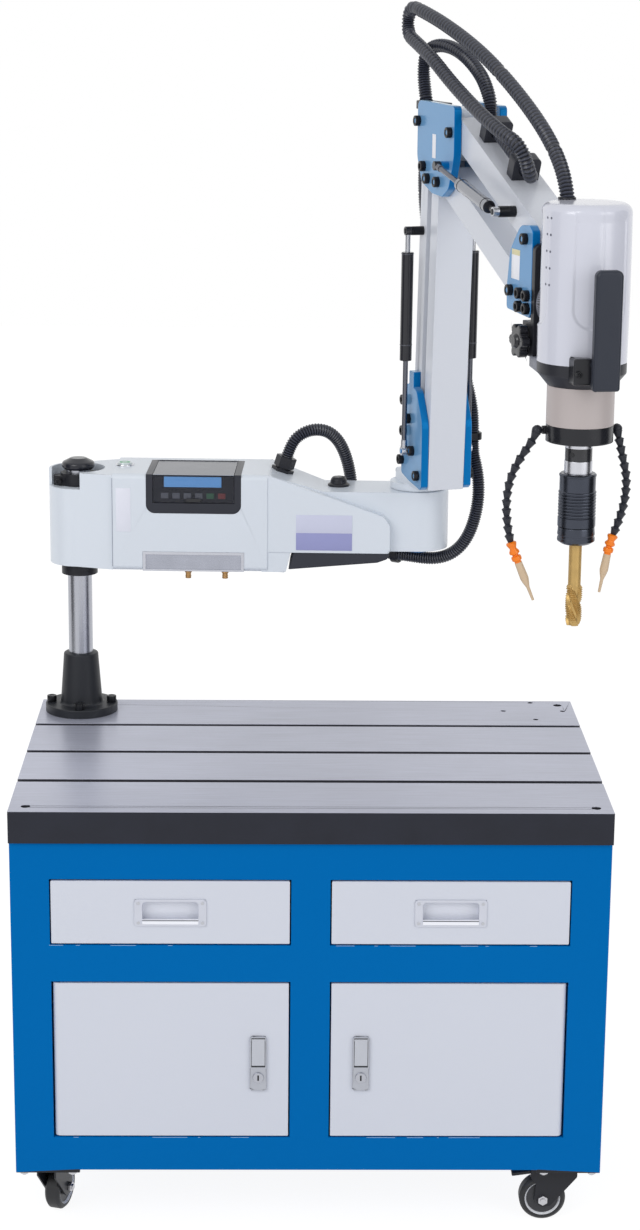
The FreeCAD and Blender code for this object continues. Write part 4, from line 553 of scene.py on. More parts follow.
def dressed(piece, cover, *parts):
    """The first material covers the piece, and each later one the faces that its test picks."""
    piece.data.materials.clear()
    piece.data.materials.append(cover)
    for number, (material, picks) in enumerate(parts, 1):
        piece.data.materials.append(material)
        for face in piece.data.polygons:
            if picks(face.center / mm, face.normal):
                face.material_index = number
    return piece


def from_cad(name, node, slot, width, cover, *parts, segments=2, whole=False):
    """A CAD solid with soft edges in its materials. The slot is not used."""
    dressed(softened(name, node, width, segments, whole), cover, *parts)


def fitted(piece, body, cover):
    """Gives a piece that is made here its material and body."""
    dressed(piece, cover)
    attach(piece, body)


def joined(name, pieces):
    """Several meshes as one piece."""
    bpy.ops.object.select_all(action="DESELECT")
    for piece in pieces:
        piece.select_set(True)
    bpy.context.view_layer.objects.active = pieces[0]
    if len(pieces) > 1:
        bpy.ops.object.join()
    whole = bpy.context.object
    whole.name = name
    return whole


def applied():
    """The newest primitive, with its place, turn and size taken into its mesh."""
    bpy.ops.object.transform_apply(location=True, rotation=True, scale=True)
    return bpy.context.object


def block(centre, size):
    """A box, given in millimetres."""
    bpy.ops.mesh.primitive_cube_add(size=1.0, location=[c * mm for c in centre])
    bpy.context.object.scale = [s * mm for s in size]
    return applied()


def drum(sides, radius, depth, centre=(0, 0, 0), rotation=(0, 0, 0)):
    """A cylinder or a prism, given in millimetres."""
    bpy.ops.mesh.primitive_cylinder_add(vertices=sides, radius=radius * mm, depth=depth * mm,
                                        location=[c * mm for c in centre], rotation=rotation)
    return applied()


def chamfered(piece, width, segments):
    """A block or drum with all its edges cut back by a width in millimetres."""
    return edited(piece, lambda: bpy.ops.mesh.bevel(offset=width * mm, segments=segments))


blue_sheen = (0.05, 0.45, 1.0, 1.0)
cabinet_enamel = finish("cabinet_enamel", (0, 101, 172), 0.36, drift=0.07, drift_scale=2.5,
                        grain=0.16, grain_scale=420.0, specular=0.3, sheen=blue_sheen)
caster_plate_black = dark_finish("caster_plate_black", (34, 35, 39), 0.45, grain=0.2)
from_cad("cabinet_body", "cabinet_frame", "cabinet_blue", 1.4, cabinet_enamel,
         (caster_plate_black, lambda p, n: p.z < 99.6))

# The enamel is chipped to a pale line here and there along the sills of the openings, where
# doors and drawers have rubbed. Each chip is a thin bright sliver on the sill's front edge.
chip_paint = finish("chipped_edge", (150, 190, 226), 0.5, grain=0.3)
sill_front = -295.1
for name, height, spans in (
        ("sill_chips", 467.7, [(-392, -371), (-352, -346), (-300, -262), (-214, -207), (38, 66), (96, 101),
                               (120, 158), (226, 252), (263, 268), (330, 341)]),
        ("sill_chips_low", 154.7, [(-360, -352), (-240, -186), (-170, -166), (-120, -92), (88, 132),
                                   (150, 175), (196, 199), (214, 262)])):
    slivers = [chamfered(block(((start + end) / 2, sill_front, height), (end - start, 0.5, 0.7)), 0.22, 1)
               for start, end in spans]
    fitted(joined(name, slivers), "cabinet", chip_paint)

# ================================================================ drawers and their pulls
# Two folded steel drawer fronts in pale grey enamel, each with a satin recessed pull: a die
# cast frame with a finger lip, held by a small screw in each corner.
front_enamel = finish("front_enamel", (207, 211, 221), 0.4, drift=0.035, drift_scale=3.0,
                      grain=0.12, grain_scale=420.0, coat=0.1, coat_roughness=0.25)
pull_satin = finish("pull_satin", (203, 206, 216), 0.34, metallic=0.35, drift=0.1, drift_scale=40.0,
                    grain=0.12, grain_scale=1500.0)
pull_inside = finish("pull_inside", (222, 225, 234), 0.3, drift=0.1, drift_scale=25.0, grain=0.05)
# The finger lip's front faces get a brighter copy of the satin metal: a painted highlight.
pull_lip_highlight = finish("pull_lip_painted_highlight", (240, 242, 248), 0.2, grain=0.04)
pull_shade = finish("pull_painted_shadow", (70, 72, 84), 0.5)
screw_bright = finish("screw_bright", (190, 192, 198), 0.3, metallic=0.8)
drawer_front = -295.0
drawer_middle = 520.0
for side in ("left", "right"):
    drawer = "drawer_" + side
    box_low, box_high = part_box(drawer)
    centre = (box_low.x + box_high.x) / 2 / mm
    from_cad("drawer_front_" + side, drawer, "panel_grey", 1.8, front_enamel, segments=3)
    from_cad("drawer_grip_" + side, "drawer_pull_" + side, "pull_silver", 0.6, pull_satin,
             (pull_inside, lambda p, n: p.y > drawer_front + 1.5 and abs(p.x - centre) < 41),
             (pull_lip_highlight, lambda p, n: p.y < drawer_front - 2.2 and p.z < drawer_middle - 8))
    dots = [chamfered(drum(20, 2.6, 1.2, (centre + dx, drawer_front - 2.3, drawer_middle + dz),
                           (math.pi / 2, 0, 0)), 0.35, 2) for dx in (-48, 48) for dz in (-15.5, 15.5)]
    # A thin dark strip under the lip is a painted shadow.
    shade_line = block((centre, drawer_front - 4.05, drawer_middle - 11.2), (84, 0.5, 1.3))
    shade_line.name = "grip_shadow_line_" + side
    fitted(shade_line, drawer, pull_shade)
    fitted(joined("grip_screws_" + side, dots), drawer, screw_bright)

# ================================================================ doors and locks
# Two doors of the same pale enamel on pins at their outer edges. Each has a nickel plated
# lock: a plate with a lift-out paddle over a round key cylinder.
lock_nickel = finish("lock_nickel", (176, 179, 187), 0.3, metallic=0.6, drift=0.12, drift_scale=60.0,
                     grain_scale=1600.0)
paddle_nickel = finish("paddle_nickel", (186, 189, 197), 0.24, metallic=0.5, drift=0.1,
                       drift_scale=60.0, grain=0.06)
key_chrome = finish("key_chrome", (176, 178, 186), 0.14, metallic=1.0, drift=0.1, grain=0.03)
# The recess round the paddle and the key's slot are painted near black: painted shade in the hollows.
recess_shade_dark = finish("painted_recess_shade", (30, 31, 35), 0.5)
key_height = 256
for side, lock_x in (("left", -78.0), ("right", 78.0)):
    from_cad("door_leaf_" + side, "door_" + side, "panel_grey", 1.5, front_enamel,
             (lock_nickel, lambda p, n: p.y < drawer_front - 0.3 and abs(p.x - lock_x) < 14),
             (recess_shade_dark, lambda p, n: drawer_front - 1.3 < p.y < drawer_front - 0.5
              and abs(p.x - lock_x) < 11),
             (key_chrome, lambda p, n: p.y < drawer_front - 4.6
              and (p.x - lock_x) ** 2 + (p.z - key_height) ** 2 < 84),
             (recess_shade_dark, lambda p, n: abs(p.x - lock_x) < 0.9 and abs(p.z - key_height) < 4.2
              and drawer_front - 6.9 < p.y < drawer_front - 4))
    from_cad("lock_paddle_plate_" + side, "lock_paddle_" + side, "lock_chrome", 0.5, paddle_nickel)

# ================================================================ casters
# Four swivel casters: pressed black forks, black tyres on a disc with a thin white ring,
# and bright hexagon nuts. The front two have a brake pedal.
fork_black = dark_finish("fork_black", (38, 39, 44), 0.32, drift=0.12, drift_scale=40.0, grain=0.12)
tyre_black = finish("tyre_rubber", (26, 27, 31), 0.5, drift=0.1, drift_scale=30.0, grain=0.25,
                    grain_scale=900.0)
wheel_disc = finish("wheel_disc", (44, 45, 50), 0.42, drift=0.1, grain=0.2)
ring_white = finish("wheel_ring_white", (226, 228, 232), 0.45)
nut_zinc = finish("nut_zinc", (196, 196, 200), 0.26, metallic=0.9, drift=0.1)
caster_turns = {"front_left": 72.0, "front_right": 180.0, "rear_left": 200.0, "rear_right": 150.0}


def hexagon_nut(flat, thick, place, stud, stud_radius):
    """A chamfered hexagon nut standing on a face, with the end of its bolt."""
    nut = chamfered(drum(6, flat / math.cos(math.pi / 6), thick, (0, 0, thick / 2)), 0.09 * flat, 2)
    end = chamfered(drum(24, stud_radius, thick + stud, (0, 0, (thick + stud) / 2)), 0.12 * stud_radius, 2)
    nut = joined("nut", [nut, end])
    nut.data.transform(place)
    return nut


def facing(degrees):
    """A level direction, from its turn about the upright axis."""
    return Vector((math.cos(math.radians(degrees)), math.sin(math.radians(degrees)), 0.0))


def standing(point, direction):
    """The place of a fitting that is drawn on the floor and stands on a face of the machine."""
    return Matrix.Translation(point) @ Vector(direction).to_track_quat("Z", "Y").to_matrix().to_4x4()


caster_plate_face = 95.0
for corner, turn in caster_turns.items():
    wheel_low, wheel_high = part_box("caster_wheel_" + corner)
    axle = (wheel_low + wheel_high) / 2
    heading = facing(turn)
    sideways = Vector((-heading.y, heading.x, 0.0))

    def reach(p):
        """How far a point is from the wheel's axle."""
        offset = p * mm - axle
        return math.hypot(offset.dot(heading), offset.z) / mm

    from_cad("fork_" + corner, "caster_fork_" + corner, "black_metal", 0.6, fork_black)
    from_cad("wheel_" + corner, "caster_wheel_" + corner, "wheel_rubber", 0.5, tyre_black,
             (wheel_disc, lambda p, n: reach(p) < 25.1),
             (ring_white, lambda p, n: 24.6 < reach(p) < 27.3 and abs(n.dot(sideways)) > 0.3),
             (ring_white, lambda p, n: 25.0 < reach(p) < 27.2))
    nuts = [hexagon_nut(7.0, 5.0, standing(axle + sideways * end * 16.0 * mm, sideways * end), 2.5, 4.4)
            for end in (-1, 1)]
    fitted(joined("axle_nuts_" + corner, nuts), "caster_fork_" + corner, nut_zinc)
    sign_x, sign_y = (1 if axle.x > 0 else -1), (1 if axle.y > 0 else -1)
    spots = [Vector((sign_x * (449.0 - dx), sign_y * (295.0 - dy), caster_plate_face)) * mm
             for dx in (12.0, 86.0) for dy in (10.0, 80.0)]
    bolts = [hexagon_nut(6.0, 4.5, standing(spot, (0, 0, -1)), 2.0, 3.6) for spot in spots]
    fitted(joined("caster_bolts_" + corner, bolts), "cabinet", nut_zinc)
for corner in ("front_left", "front_right"):
    from_cad("brake_" + corner, "caster_pedal_" + corner, "black_metal", 0.6, fork_black)

# ================================================================ table
# A cast iron plate 50 mm thick, its top ground along its length and cut with three T-slots,
# its sides left rough and painted near black.
def brushed_metal():
    """Long fine scratches along one direction, in colour, gloss and relief."""
    group, given, place = surface_group("brushed_metal", {
        "Colour": (0.5, 0.5, 0.5, 1.0), "Stretch": (1.0, 60.0, 60.0), "Streaks": 0.2, "Stains": 0.1,
        "Stain Scale": 3.0, "Roughness": 0.3})
    drawn = add(group, "ShaderNodeVectorMath", {0: place, 1: given["Stretch"]}, operation="MULTIPLY")
    lines = add(group, "ShaderNodeTexNoise", {
        "Scale": 12.0, "Detail": 5.0, "Roughness": 0.7, "Vector": drawn.outputs[0]}).outputs["Fac"]
    stains = add(group, "ShaderNodeTexNoise", {
        "Detail": 3.0, "Vector": place, "Scale": given["Stain Scale"]}).outputs["Fac"]
    streak = maths(group, "SUBTRACT", lines, 0.5)
    stain = maths(group, "SUBTRACT", stains, 0.5)
    amount = maths(group, "MULTIPLY_ADD", streak, given["Streaks"], 1.0)
    amount = maths(group, "MULTIPLY_ADD", stain, given["Stains"], amount)
    relief = add(group, "ShaderNodeBump", {"Strength": 0.12, "Distance": 0.0002, "Height": lines})
    add(group, "NodeGroupOutput", {
        "Colour": shaded(group, given["Colour"], amount),
        "Roughness": maths(group, "MULTIPLY_ADD", streak, 0.18, given["Roughness"]),
        "Normal": relief.outputs["Normal"]})
    return group


brushed = brushed_metal()


def metal(name, colour, roughness, stretch, streaks=0.2, stains=0.1, stain_scale=3.0, metallic=1.0):
    """Ground, drawn or turned metal."""
    return surfaced(name, brushed, {
        "Colour": tone(*colour), "Stretch": stretch, "Streaks": streaks, "Stains": stains,
        "Stain Scale": stain_scale, "Roughness": roughness}, {"Metallic": metallic})


table_ground = metal("table_ground_iron", (182, 185, 200), 0.32, (0.8, 45.0, 1.0), 0.8, 0.5, 2.2,
                     metallic=0.35)
table_side = finish("table_side_paint", (38, 40, 49), 0.55, drift=0.5, drift_scale=22.0, grain=0.7,
                    grain_scale=160.0, patchiness=0.3, specular=0.22)
slot_iron = metal("slot_iron", (84, 84, 92), 0.42, (0.8, 45.0, 45.0), 0.3, 0.3, metallic=0.7)
from_cad("table_with_slots", "table_plate", "table_iron", 0.7, table_side,
         (table_ground, lambda p, n: n.z > 0.35 and p.z > 679.0),
         (slot_iron, lambda p, n: abs(p.x) < 449.9 and abs(p.y) < 299.4 and 631 < p.z < 679.0))

# ================================================================ post
# A turned black foot with a bolted flange holds a hard chromed steel column. The collar that
# the arm runs on, the split ring clamped above it and the domed cap are black.
def socket_screw(radius, head):
    """A cap screw's head: a chamfered drum with a hexagon socket. It is drawn on the floor."""
    screw = drum(32, radius, head, (0, 0, head / 2))
    key = drum(6, radius * 0.55, head, (0, 0, head * 0.95))
    select_only(screw)
    cut = screw.modifiers.new("socket", "BOOLEAN")
    cut.operation = "DIFFERENCE"
    cut.object = key
    bpy.ops.object.modifier_apply(modifier="socket")
    bpy.data.objects.remove(key)
    rim = screw.modifiers.new("rim", "BEVEL")
    rim.width = radius * 0.10 * mm
    rim.segments = 2
    rim.limit_method = "ANGLE"
    rim.angle_limit = math.radians(50)
    bpy.ops.object.modifier_apply(modifier="rim")
    mesh = smoothed(screw).data
    bpy.data.objects.remove(screw)
    return mesh


def screws(name, body, head, places):
    """Copies of one screw head as one piece, at the places of a body."""
    made = []
    for place in places:
        screw = bpy.data.objects.new(name, head.copy())
        screw.data.transform(place)
        scene.collection.objects.link(screw)
        made.append(screw)
    fitted(joined(name, made), body, screw_black)


def widened(piece, middle, picks):
    """Moves a piece's vertices to the radius that a test gives for their height and radius."""
    for vertex in piece.data.vertices:
        offset = Vector((vertex.co.x - middle.x, vertex.co.y - middle.y))
        radius = picks(vertex.co.z / mm, offset.length / mm)
        if radius:
            vertex.co.x = middle.x + offset.x * radius * mm / offset.length
            vertex.co.y = middle.y + offset.y * radius * mm / offset.length


screw_black = dark_finish("screw_black_oxide", (30, 31, 35), 0.28, drift=0.12, drift_scale=60.0, grain=0.08,
                          metallic=0.3)
foot_black = dark_finish("foot_black", (40, 42, 47), 0.42, drift=0.14, drift_scale=14.0, grain=0.25,
                         grain_scale=500.0, patchiness=0.15)
post_chrome = metal("post_chrome", (176, 178, 186), 0.27, (60.0, 60.0, 1.0), 0.16, 0.12, 8.0)
collar_black = dark_finish("collar_black", (34, 35, 40), 0.36, drift=0.1, grain=0.15)
cap_gloss = dark_finish("cap_gloss", (34, 36, 44), 0.22, drift=0.12, drift_scale=30.0, coat=0.3)
post_axis = Vector((-380.0, 240.0, 0.0))
from_cad("post_and_foot", "pillar_post", "post_steel", 0.8, foot_black,
         (post_chrome, lambda p, n: p.z > 779.0 and math.hypot(p.x - post_axis.x, p.y - post_axis.y) < 20.4))
flange_top = 694.0
screws("flange_screws", "cabinet", socket_screw(8.0, 10.6),
       [standing((post_axis + facing(turn) * 50 + Vector((0, 0, flange_top))) * mm, (0, 0, 1))
        for turn in (0, 90, 180, 270)])
collars = softened("collars_and_cap", "post_collars", 0.7)
widened(collars, post_axis * mm, lambda z, r: 29.7 if z < 937 and 21.5 < r < 30.2 else None)
dressed(collars, collar_black, (cap_gloss, lambda p, n: p.z > 1091.5))
screws("clamp_ring_screw", "cabinet", socket_screw(4.6, 5.0),
       [standing((post_axis + Vector((-31.0, -19.8, 1074.3))) * mm, (0, -1, 0))])

# ================================================================ first arm
# The housing is a white powder coated casting: a round tower on the post, a box for the
# electronics and a sloping nose. A seam shows where the box is bolted to the tower.
def on_first_arm(p):
    """A point in millimetres, as it lies along, across and above the first arm."""
    return (first_arm_place.inverted() @ (p * mm)) / mm


def flat_plate(name, corners, thick, outward, place, rim=0.3):
    """A thin plate with soft edges, given by its corners, standing on a face."""
    plate = built(name, [place(*corner) for corner in corners], [tuple(range(len(corners)))])
    step = {"value": tuple(outward * thick * mm)}
    edited(plate, lambda: bpy.ops.mesh.extrude_region_move(TRANSFORM_OT_translate=step), turn_faces_out)
    bevel = plate.modifiers.new("rim", "BEVEL")
    bevel.width = rim * mm
    bevel.segments = 2
    bpy.ops.object.modifier_apply(modifier="rim")
    return smoothed(plate)


def oblong(x, y, z):
    """The corners of a standing oblong, between two x and two z."""
    return [(x[0], y, z[0]), (x[1], y, z[0]), (x[1], y, z[1]), (x[0], y, z[1])]


def arm_plate(name, x, y, z, thick, rim, cover):
    """An oblong plate on the front of the first arm."""
    fitted(flat_plate(name, oblong(x, y, z), thick, arm_front, first_arm, rim), "first_arm", cover)


arm_front = -(first_arm(0, 1000, 0) - first_arm(0, 0, 0))
arm_enamel = finish("arm_enamel", (217, 224, 232), 0.34, drift=0.035, drift_scale=5.0, grain=0.14,
                    grain_scale=380.0, coat=0.15, coat_roughness=0.2)
ring_chrome = finish("button_ring_chrome", (208, 210, 216), 0.16, metallic=0.9, grain=0.03)
button_x, button_y = 76, 8
from_cad("arm_casting", "arm_housing", "arm_white", 0.9, arm_enamel,
         (ring_chrome, lambda p, n: p.z > 1097.3
          and (on_first_arm(p) - Vector((button_x, button_y, p.z))).length < 16))
seam_dark = finish("casting_seam", (150, 156, 170), 0.6)
arm_plate("casting_seam_line", (61.4, 62.4), -70.15, (944, 1090), 0.3, 0.05, seam_dark)

# A bare white vinyl plate stands beside the panel, and a bare two-tone enamelled plate, light
# over violet, is glued to the casting's raised cheek. Neither carries any words.
vinyl_white = finish("vinyl_white", (226, 228, 238), 0.28, drift=0.03, grain=0.05)
plate_light = finish("plate_light", (205, 208, 228), 0.3, drift=0.05, drift_scale=30.0, grain=0.06)
plate_violet = finish("plate_violet", (150, 153, 200), 0.3, drift_scale=30.0, grain=0.06)
arm_plate("bare_vinyl_plate", (68, 92), -70, (1002, 1074), 0.35, 0.12, vinyl_white)
arm_plate("bare_plate_lower", (360.5, 451.5), -68, (974.5, 1003), 0.7, 0.2, plate_violet)
arm_plate("bare_plate_upper", (360.5, 451.5), -68, (1003, 1033), 0.7, 0.2, plate_light)

# ================================================================ control panel
# A black moulded bezel over the arm's front top edge holds a blue liquid crystal display and
# a row of membrane keys behind a hinged smoked cover with a latch.
bezel_black = dark_finish("bezel_black", (46, 48, 56), 0.34, drift=0.08, grain=0.2, grain_scale=900.0)
well_black = dark_finish("panel_well", (30, 31, 37), 0.4)
from_cad("panel_bezel", "control_panel", "black_plastic", 1.2, bezel_black,
         (well_black, lambda p, n: 128.5 < on_first_arm(p).x < 259.5 and on_first_arm(p).y > -69.5
          and 1051 < p.z < 1093.5))
display_blue = finish("display_blue", (98, 156, 218), 0.2, drift=0.05, grain=0.02)
tree = display_blue.node_tree
rows = add(tree, "ShaderNodeTexWave", {
    "Scale": 160.0, "Vector": add(tree, "ShaderNodeTexCoord").outputs["Object"]},
    wave_type="BANDS", bands_direction="Z")
cells = add(tree, "ShaderNodeMix", {
    "A": tone(86, 146, 212), "B": tone(112, 168, 226), "Factor": rows.outputs["Fac"]}, data_type="RGBA")
fill(tree.nodes["Principled BSDF"], {"Emission Color": cells.outputs["Result"], "Emission Strength": 0.75})
arm_plate("panel_display", (146, 239), -63.6, (1075.5, 1092.6), 1.0, 0.1, display_blue)
key_grey = finish("key_grey", (120, 124, 136), 0.4)
key_tints = [key_grey] * 4 + [finish("key_green", (60, 120, 84), 0.4), finish("key_red", (150, 60, 56), 0.4)]
for k, tint in enumerate(key_tints):
    start = 141 + k * 18.5
    arm_plate("panel_key_%d" % (k + 1), (start, start + 12), -65.6, (1057, 1066), 0.6, 0.25,
              tint)
smoke_sheet = bpy.data.materials.new("smoked_sheet")
smoke_sheet.use_nodes = True
smoke = add(smoke_sheet.node_tree, "ShaderNodeGroup", {
    "Colour": tone(52, 55, 66), "Drift": 0.12, "Drift Scale": 20.0, "Grain": 0.02, "Roughness": 0.12,
    "Patchiness": 0.05}, node_tree=handled).outputs
fill(smoke_sheet.node_tree.nodes["Principled BSDF"], {
    "Base Color": smoke["Colour"], "Roughness": smoke["Roughness"], "Alpha": 0.26})
smoke_edge_highlight = finish("smoked_edge_painted_highlight", (150, 156, 170), 0.2, grain=0.05)
smoke_top_reflection = finish("smoked_top_painted_reflection", (92, 95, 104), 0.24, drift=0.2, drift_scale=14.0, grain=0.04)
latch_black = finish("latch_black", (26, 27, 31), 0.3)
latch_middle = 194
# The cover is one smoked sheet: its upward faces are painted lighter as a painted reflection of the light
# from above, and its sloping front edge is painted pale as a painted highlight.
from_cad("smoked_cover", "panel_cover", "smoke", 0.7, smoke_sheet,
         (smoke_top_reflection, lambda p, n: n.z > 0.8 and p.z > 1095.0),
         (smoke_edge_highlight, lambda p, n: p.z > 1095.6 and on_first_arm(p).y < -68.6 and 0.2 < n.z < 0.95),
         (latch_black, lambda p, n: on_first_arm(p).y < -69.9 and 1050 < p.z < 1059.5
          and abs(on_first_arm(p).x - latch_middle) < 13))

# ================================================================ start button
# A domed steel push button in a bright ring on the arm's top, with two green arcs.
button_face = finish("button_face", (206, 214, 216), 0.25, metallic=0.3, grain=0.05)
arc_green = finish("button_green", (96, 176, 128), 0.35, grain=0.05)
from_cad("start_button", "power_button", "port_silver", 0.8, button_face, segments=3)
arcs = []


def narrow_ring():
    """A step for `edited` that makes a flat ring of a circle's edge."""
    bpy.ops.mesh.extrude_edges_move()
    bpy.ops.transform.resize(value=(0.66, 0.66, 1.0))


for turn in (0.0, 180.0):
    bpy.ops.mesh.primitive_circle_add(vertices=48, radius=8.8 * mm, location=(0, 0, 0))
    arc = edited(
        bpy.context.object, narrow_ring,
        lambda: bpy.ops.mesh.bisect(plane_co=(0, 1.6 * mm, 0), plane_no=(0, 1, 0), clear_inner=True),
        lambda: bpy.ops.mesh.extrude_region_move(TRANSFORM_OT_translate={"value": (0, 0, 0.3 * mm)}),
        turn_faces_out)
    arc.data.transform(Matrix.Translation(first_arm(button_x, button_y, 1102.0))
                       @ Matrix.Rotation(math.radians(turn), 4, "Z"))
    arcs.append(arc)
fitted(joined("button_arcs", arcs), "power_button", arc_green)

# ================================================================ supply ports
# A brushed aluminium plate let into the arm's lower edge, its name field left bare, with two
# brass nipples under it for the oil mist and the air.
port_brushed = metal("port_brushed", (196, 198, 206), 0.3, (1.0, 60.0, 60.0), 0.2, 0.15, 12.0, metallic=0.8)
port_field = metal("port_field", (168, 171, 182), 0.26, (1.0, 60.0, 60.0), 0.24, 0.3, 30.0, metallic=0.85)
brass = finish("nipple_brass", (176, 138, 92), 0.3, metallic=0.9, drift=0.2, drift_scale=60.0)
from_cad("port_frame", "port_plate", "port_silver", 0.5, port_brushed,
         (port_field, lambda p, n: -69.6 < on_first_arm(p).y < -60 and n.y < -0.5 and p.z > 937.2),
         (brass, lambda p, n: p.z < 936.8))


def torus(major, minor, large, small):
    """A ring round the upright axis, given in millimetres."""
    bpy.ops.mesh.primitive_torus_add(major_segments=major, minor_segments=minor, major_radius=large * mm,
                                     minor_radius=small * mm, location=(0, 0, 0))
    return bpy.context.object


bands = []
for x in (185.0, 245.0):
    for z, radius, tall in ((935.4, 5.6, 2.6), (929.0, 5.0, 1.4), (926.2, 5.0, 1.2)):
        band = torus(32, 10, radius - 0.7, 0.8)
        band.data.transform(Matrix.Translation(first_arm(x, -64.5, z))
                            @ Matrix.Scale(tall / 1.6, 4, (0, 0, 1)))
        bands.append(band)
bands = joined("nipple_barbs", bands)
bpy.ops.object.shade_smooth()
fitted(bands, "first_arm", brass)

# ================================================================ trim and glands
# A black ribbed nylon gland on the slope takes the conduit, a blanking plug stands beside it,
# and a black moulded trim closes the underside of the nose.
trim_black = dark_finish("trim_black", (52, 54, 62), 0.42, drift=0.08, grain=0.3)
gland_black = dark_finish("gland_black", (38, 39, 45), 0.3, drift=0.1, drift_scale=40.0, grain=0.12)
from_cad("nose_trim", "arm_trim", "black_metal", 2.6, trim_black, segments=3)
from_cad("gland_and_plug", "arm_glands", "black_plastic", 0.8, gland_black)

# ================================================================ elbow
# A steel hub turns on the nose and carries the block that the side plates bolt to. Its shaft
# is closed by a blue nut under the arm.
def on_second_arm(p):
    """A point in millimetres, as it lies along, across and above the second arm."""
    return (second_arm_place.inverted() @ (p * mm)) / mm


plate_blue = finish("plate_blue", (0, 106, 172), 0.2, drift=0.07, drift_scale=8.0, grain=0.14,
                    grain_scale=420.0, specular=0.6, sheen=blue_sheen)
# Faces seen at a glancing angle are mixed towards pale blue: a painted sheen that stands for the reflection
# of the bright surround.
tree = plate_blue.node_tree
glance = add(tree, "ShaderNodeLayerWeight", {"Blend": 0.5})
pale = add(tree, "ShaderNodeMix", {
    "A": surface_of(plate_blue).outputs["Colour"], "B": tone(158, 198, 224),
    "Factor": maths(tree, "POWER", glance.outputs["Facing"], 2.0)}, data_type="RGBA")
fill(tree.nodes["Principled BSDF"], {"Base Color": pale.outputs["Result"]})
from_cad("elbow_hub", "elbow_turret", "arm_white", 1.5, arm_enamel, (plate_blue, lambda p, n: p.z < 969.9))

# ================================================================ side plates
# Blue 12 mm plates, flame cut and ground at their edges, join the beams of the two
# parallelograms in pairs. Black cap screws with hexagon sockets close the bearing pins.
across_arm = (second_arm(0, 1000, 0) - second_arm(0, 0, 0)).normalized()


def plate_spots(spots, side):
    """Places for screw heads on the outer face of the left (-1) or right (1) plates."""
    return [standing(second_arm(r, side * 42.25, z), across_arm * side) for r, z in spots]


plate_head = socket_screw(8.1, 8.2)
from_cad("elbow_side_plates", "turret_plates", "bright_blue", 1.3, plate_blue,
         (screw_black, lambda p, n: on_second_arm(p).y > 42.6), segments=3, whole=True)
guide_black = finish("guide_black", (40, 41, 47), 0.4, grain=0.2)
from_cad("knuckle_side_plates", "knuckle_plates", "bright_blue", 1.3, plate_blue,
         (arm_enamel, lambda p, n: abs(on_second_arm(p).y) < 30.2 and on_second_arm(p).x > 115.0),
         (guide_black, lambda p, n: abs(on_second_arm(p).y) < 31.5 and on_second_arm(p).x < 126.0
          and 1679.5 < p.z < 1693.5), segments=3, whole=True)
from_cad("bracket_side_plates", "head_plates", "bright_blue", 1.3, plate_blue, segments=3, whole=True)
for name, body, spots in (
        ("knuckle_screws", "knuckle", [(134.55, 1579.46), (90.55, 1664.46), (178.0, 1577.5),
                                       (228.0, 1654.5), (116.0, 1597.0)]),
        ("elbow_screws", "turret", [(50.0, 1223.0), (50.0, 1173.0), (87.0, 1146.0), (39.0, 1124.0),
                                    (112.0, 1110.0), (68.0, 1195.0)]),
        ("bracket_screws", "head_bracket", [(483.14, 1449.23), (533.14, 1526.23), (519.0, 1449.0),
                                            (545.0, 1448.0), (518.0, 1430.0), (546.0, 1430.0)])):
    screws(name, body, plate_head, plate_spots(spots, -1) + plate_spots(spots, 1))

# Bare vinyl plates stay on the left faces, one on the knuckle and one in two tones on the bracket.
label_white = finish("label_white", (232, 234, 240), 0.3, drift=0.03, grain=0.05)
label_tint = finish("label_tint", (214, 206, 160), 0.3, drift=0.03, grain=0.05)
for name, body, x, z, cover in (
        ("knuckle_bare_label", "knuckle", (150, 165), (1612, 1648), label_white),
        ("bracket_bare_label", "head_bracket", (482, 512), (1466, 1500), label_white),
        ("bracket_bare_label_top", "head_bracket", (482, 512), (1500, 1508), label_tint)):
    label = flat_plate(name, oblong(x, -42.3, z), 0.25, -across_arm, second_arm, 0.08)
    fitted(label, body, cover)

# ================================================================ beams
# Rectangular steel tubes 60 mm wide in white powder coat, with bearing tubes welded across
# their ends.
beam_enamel = finish("beam_enamel", (210, 214, 222), 0.32, drift=0.035, drift_scale=4.0, grain=0.12,
                     grain_scale=380.0, coat=0.15, coat_roughness=0.18)
for name, node, edge in (("column_rear_tube", "column_beam_rear", 0.9),
                         ("column_front_tube", "column_beam_front", 0.9),
                         ("forearm_upper_tube", "forearm_upper", 0),
                         ("forearm_lower_tube", "forearm_lower", 0)):
    from_cad(name, node, "arm_white", edge, beam_enamel,
             (screw_black, lambda p, n: abs(on_second_arm(p).y) > 30.6))
clamp_black = dark_finish("clamp_black", (44, 46, 54), 0.36, drift=0.1, grain=0.15)
from_cad("conduit_clamp_blocks", "conduit_clamps", "black_plastic", 0.9, clamp_black)

# ================================================================ gas springs
# Two gloss black gas springs beside the column and a grey one beside the forearm carry the
# head's weight. Each has a chromed rod, a rolled groove near its mouth and ball ends.
spring_gloss = dark_finish("spring_gloss", (34, 35, 41), 0.2, drift=0.08, drift_scale=20.0, grain=0.05,
                           coat=0.4)
spring_steel = metal("spring_steel", (150, 152, 158), 0.2, (60.0, 60.0, 60.0), 0.1, 0.2, 10.0)
rod_chrome = finish("rod_chrome", (104, 106, 114), 0.26, metallic=0.9, drift=0.05, grain=0.03)
connector_zinc = finish("connector_zinc", (188, 190, 196), 0.24, metallic=0.9, drift=0.1, grain=0.08)
column_low = Vector((80.0, 0.0, 1145.0))
column_high = Vector((82.393, 0.0, 1494.655))
forearm_low = Vector((218.0, 0.0, 1605.0))
forearm_high = Vector((458.466, 0.0, 1557.62))


def along_spring(p, start, end):
    """How far a point is from one end of a spring, towards the other."""
    local = on_second_arm(p)
    return (Vector((local.x, 0.0, local.z)) - start).dot((end - start).normalized())


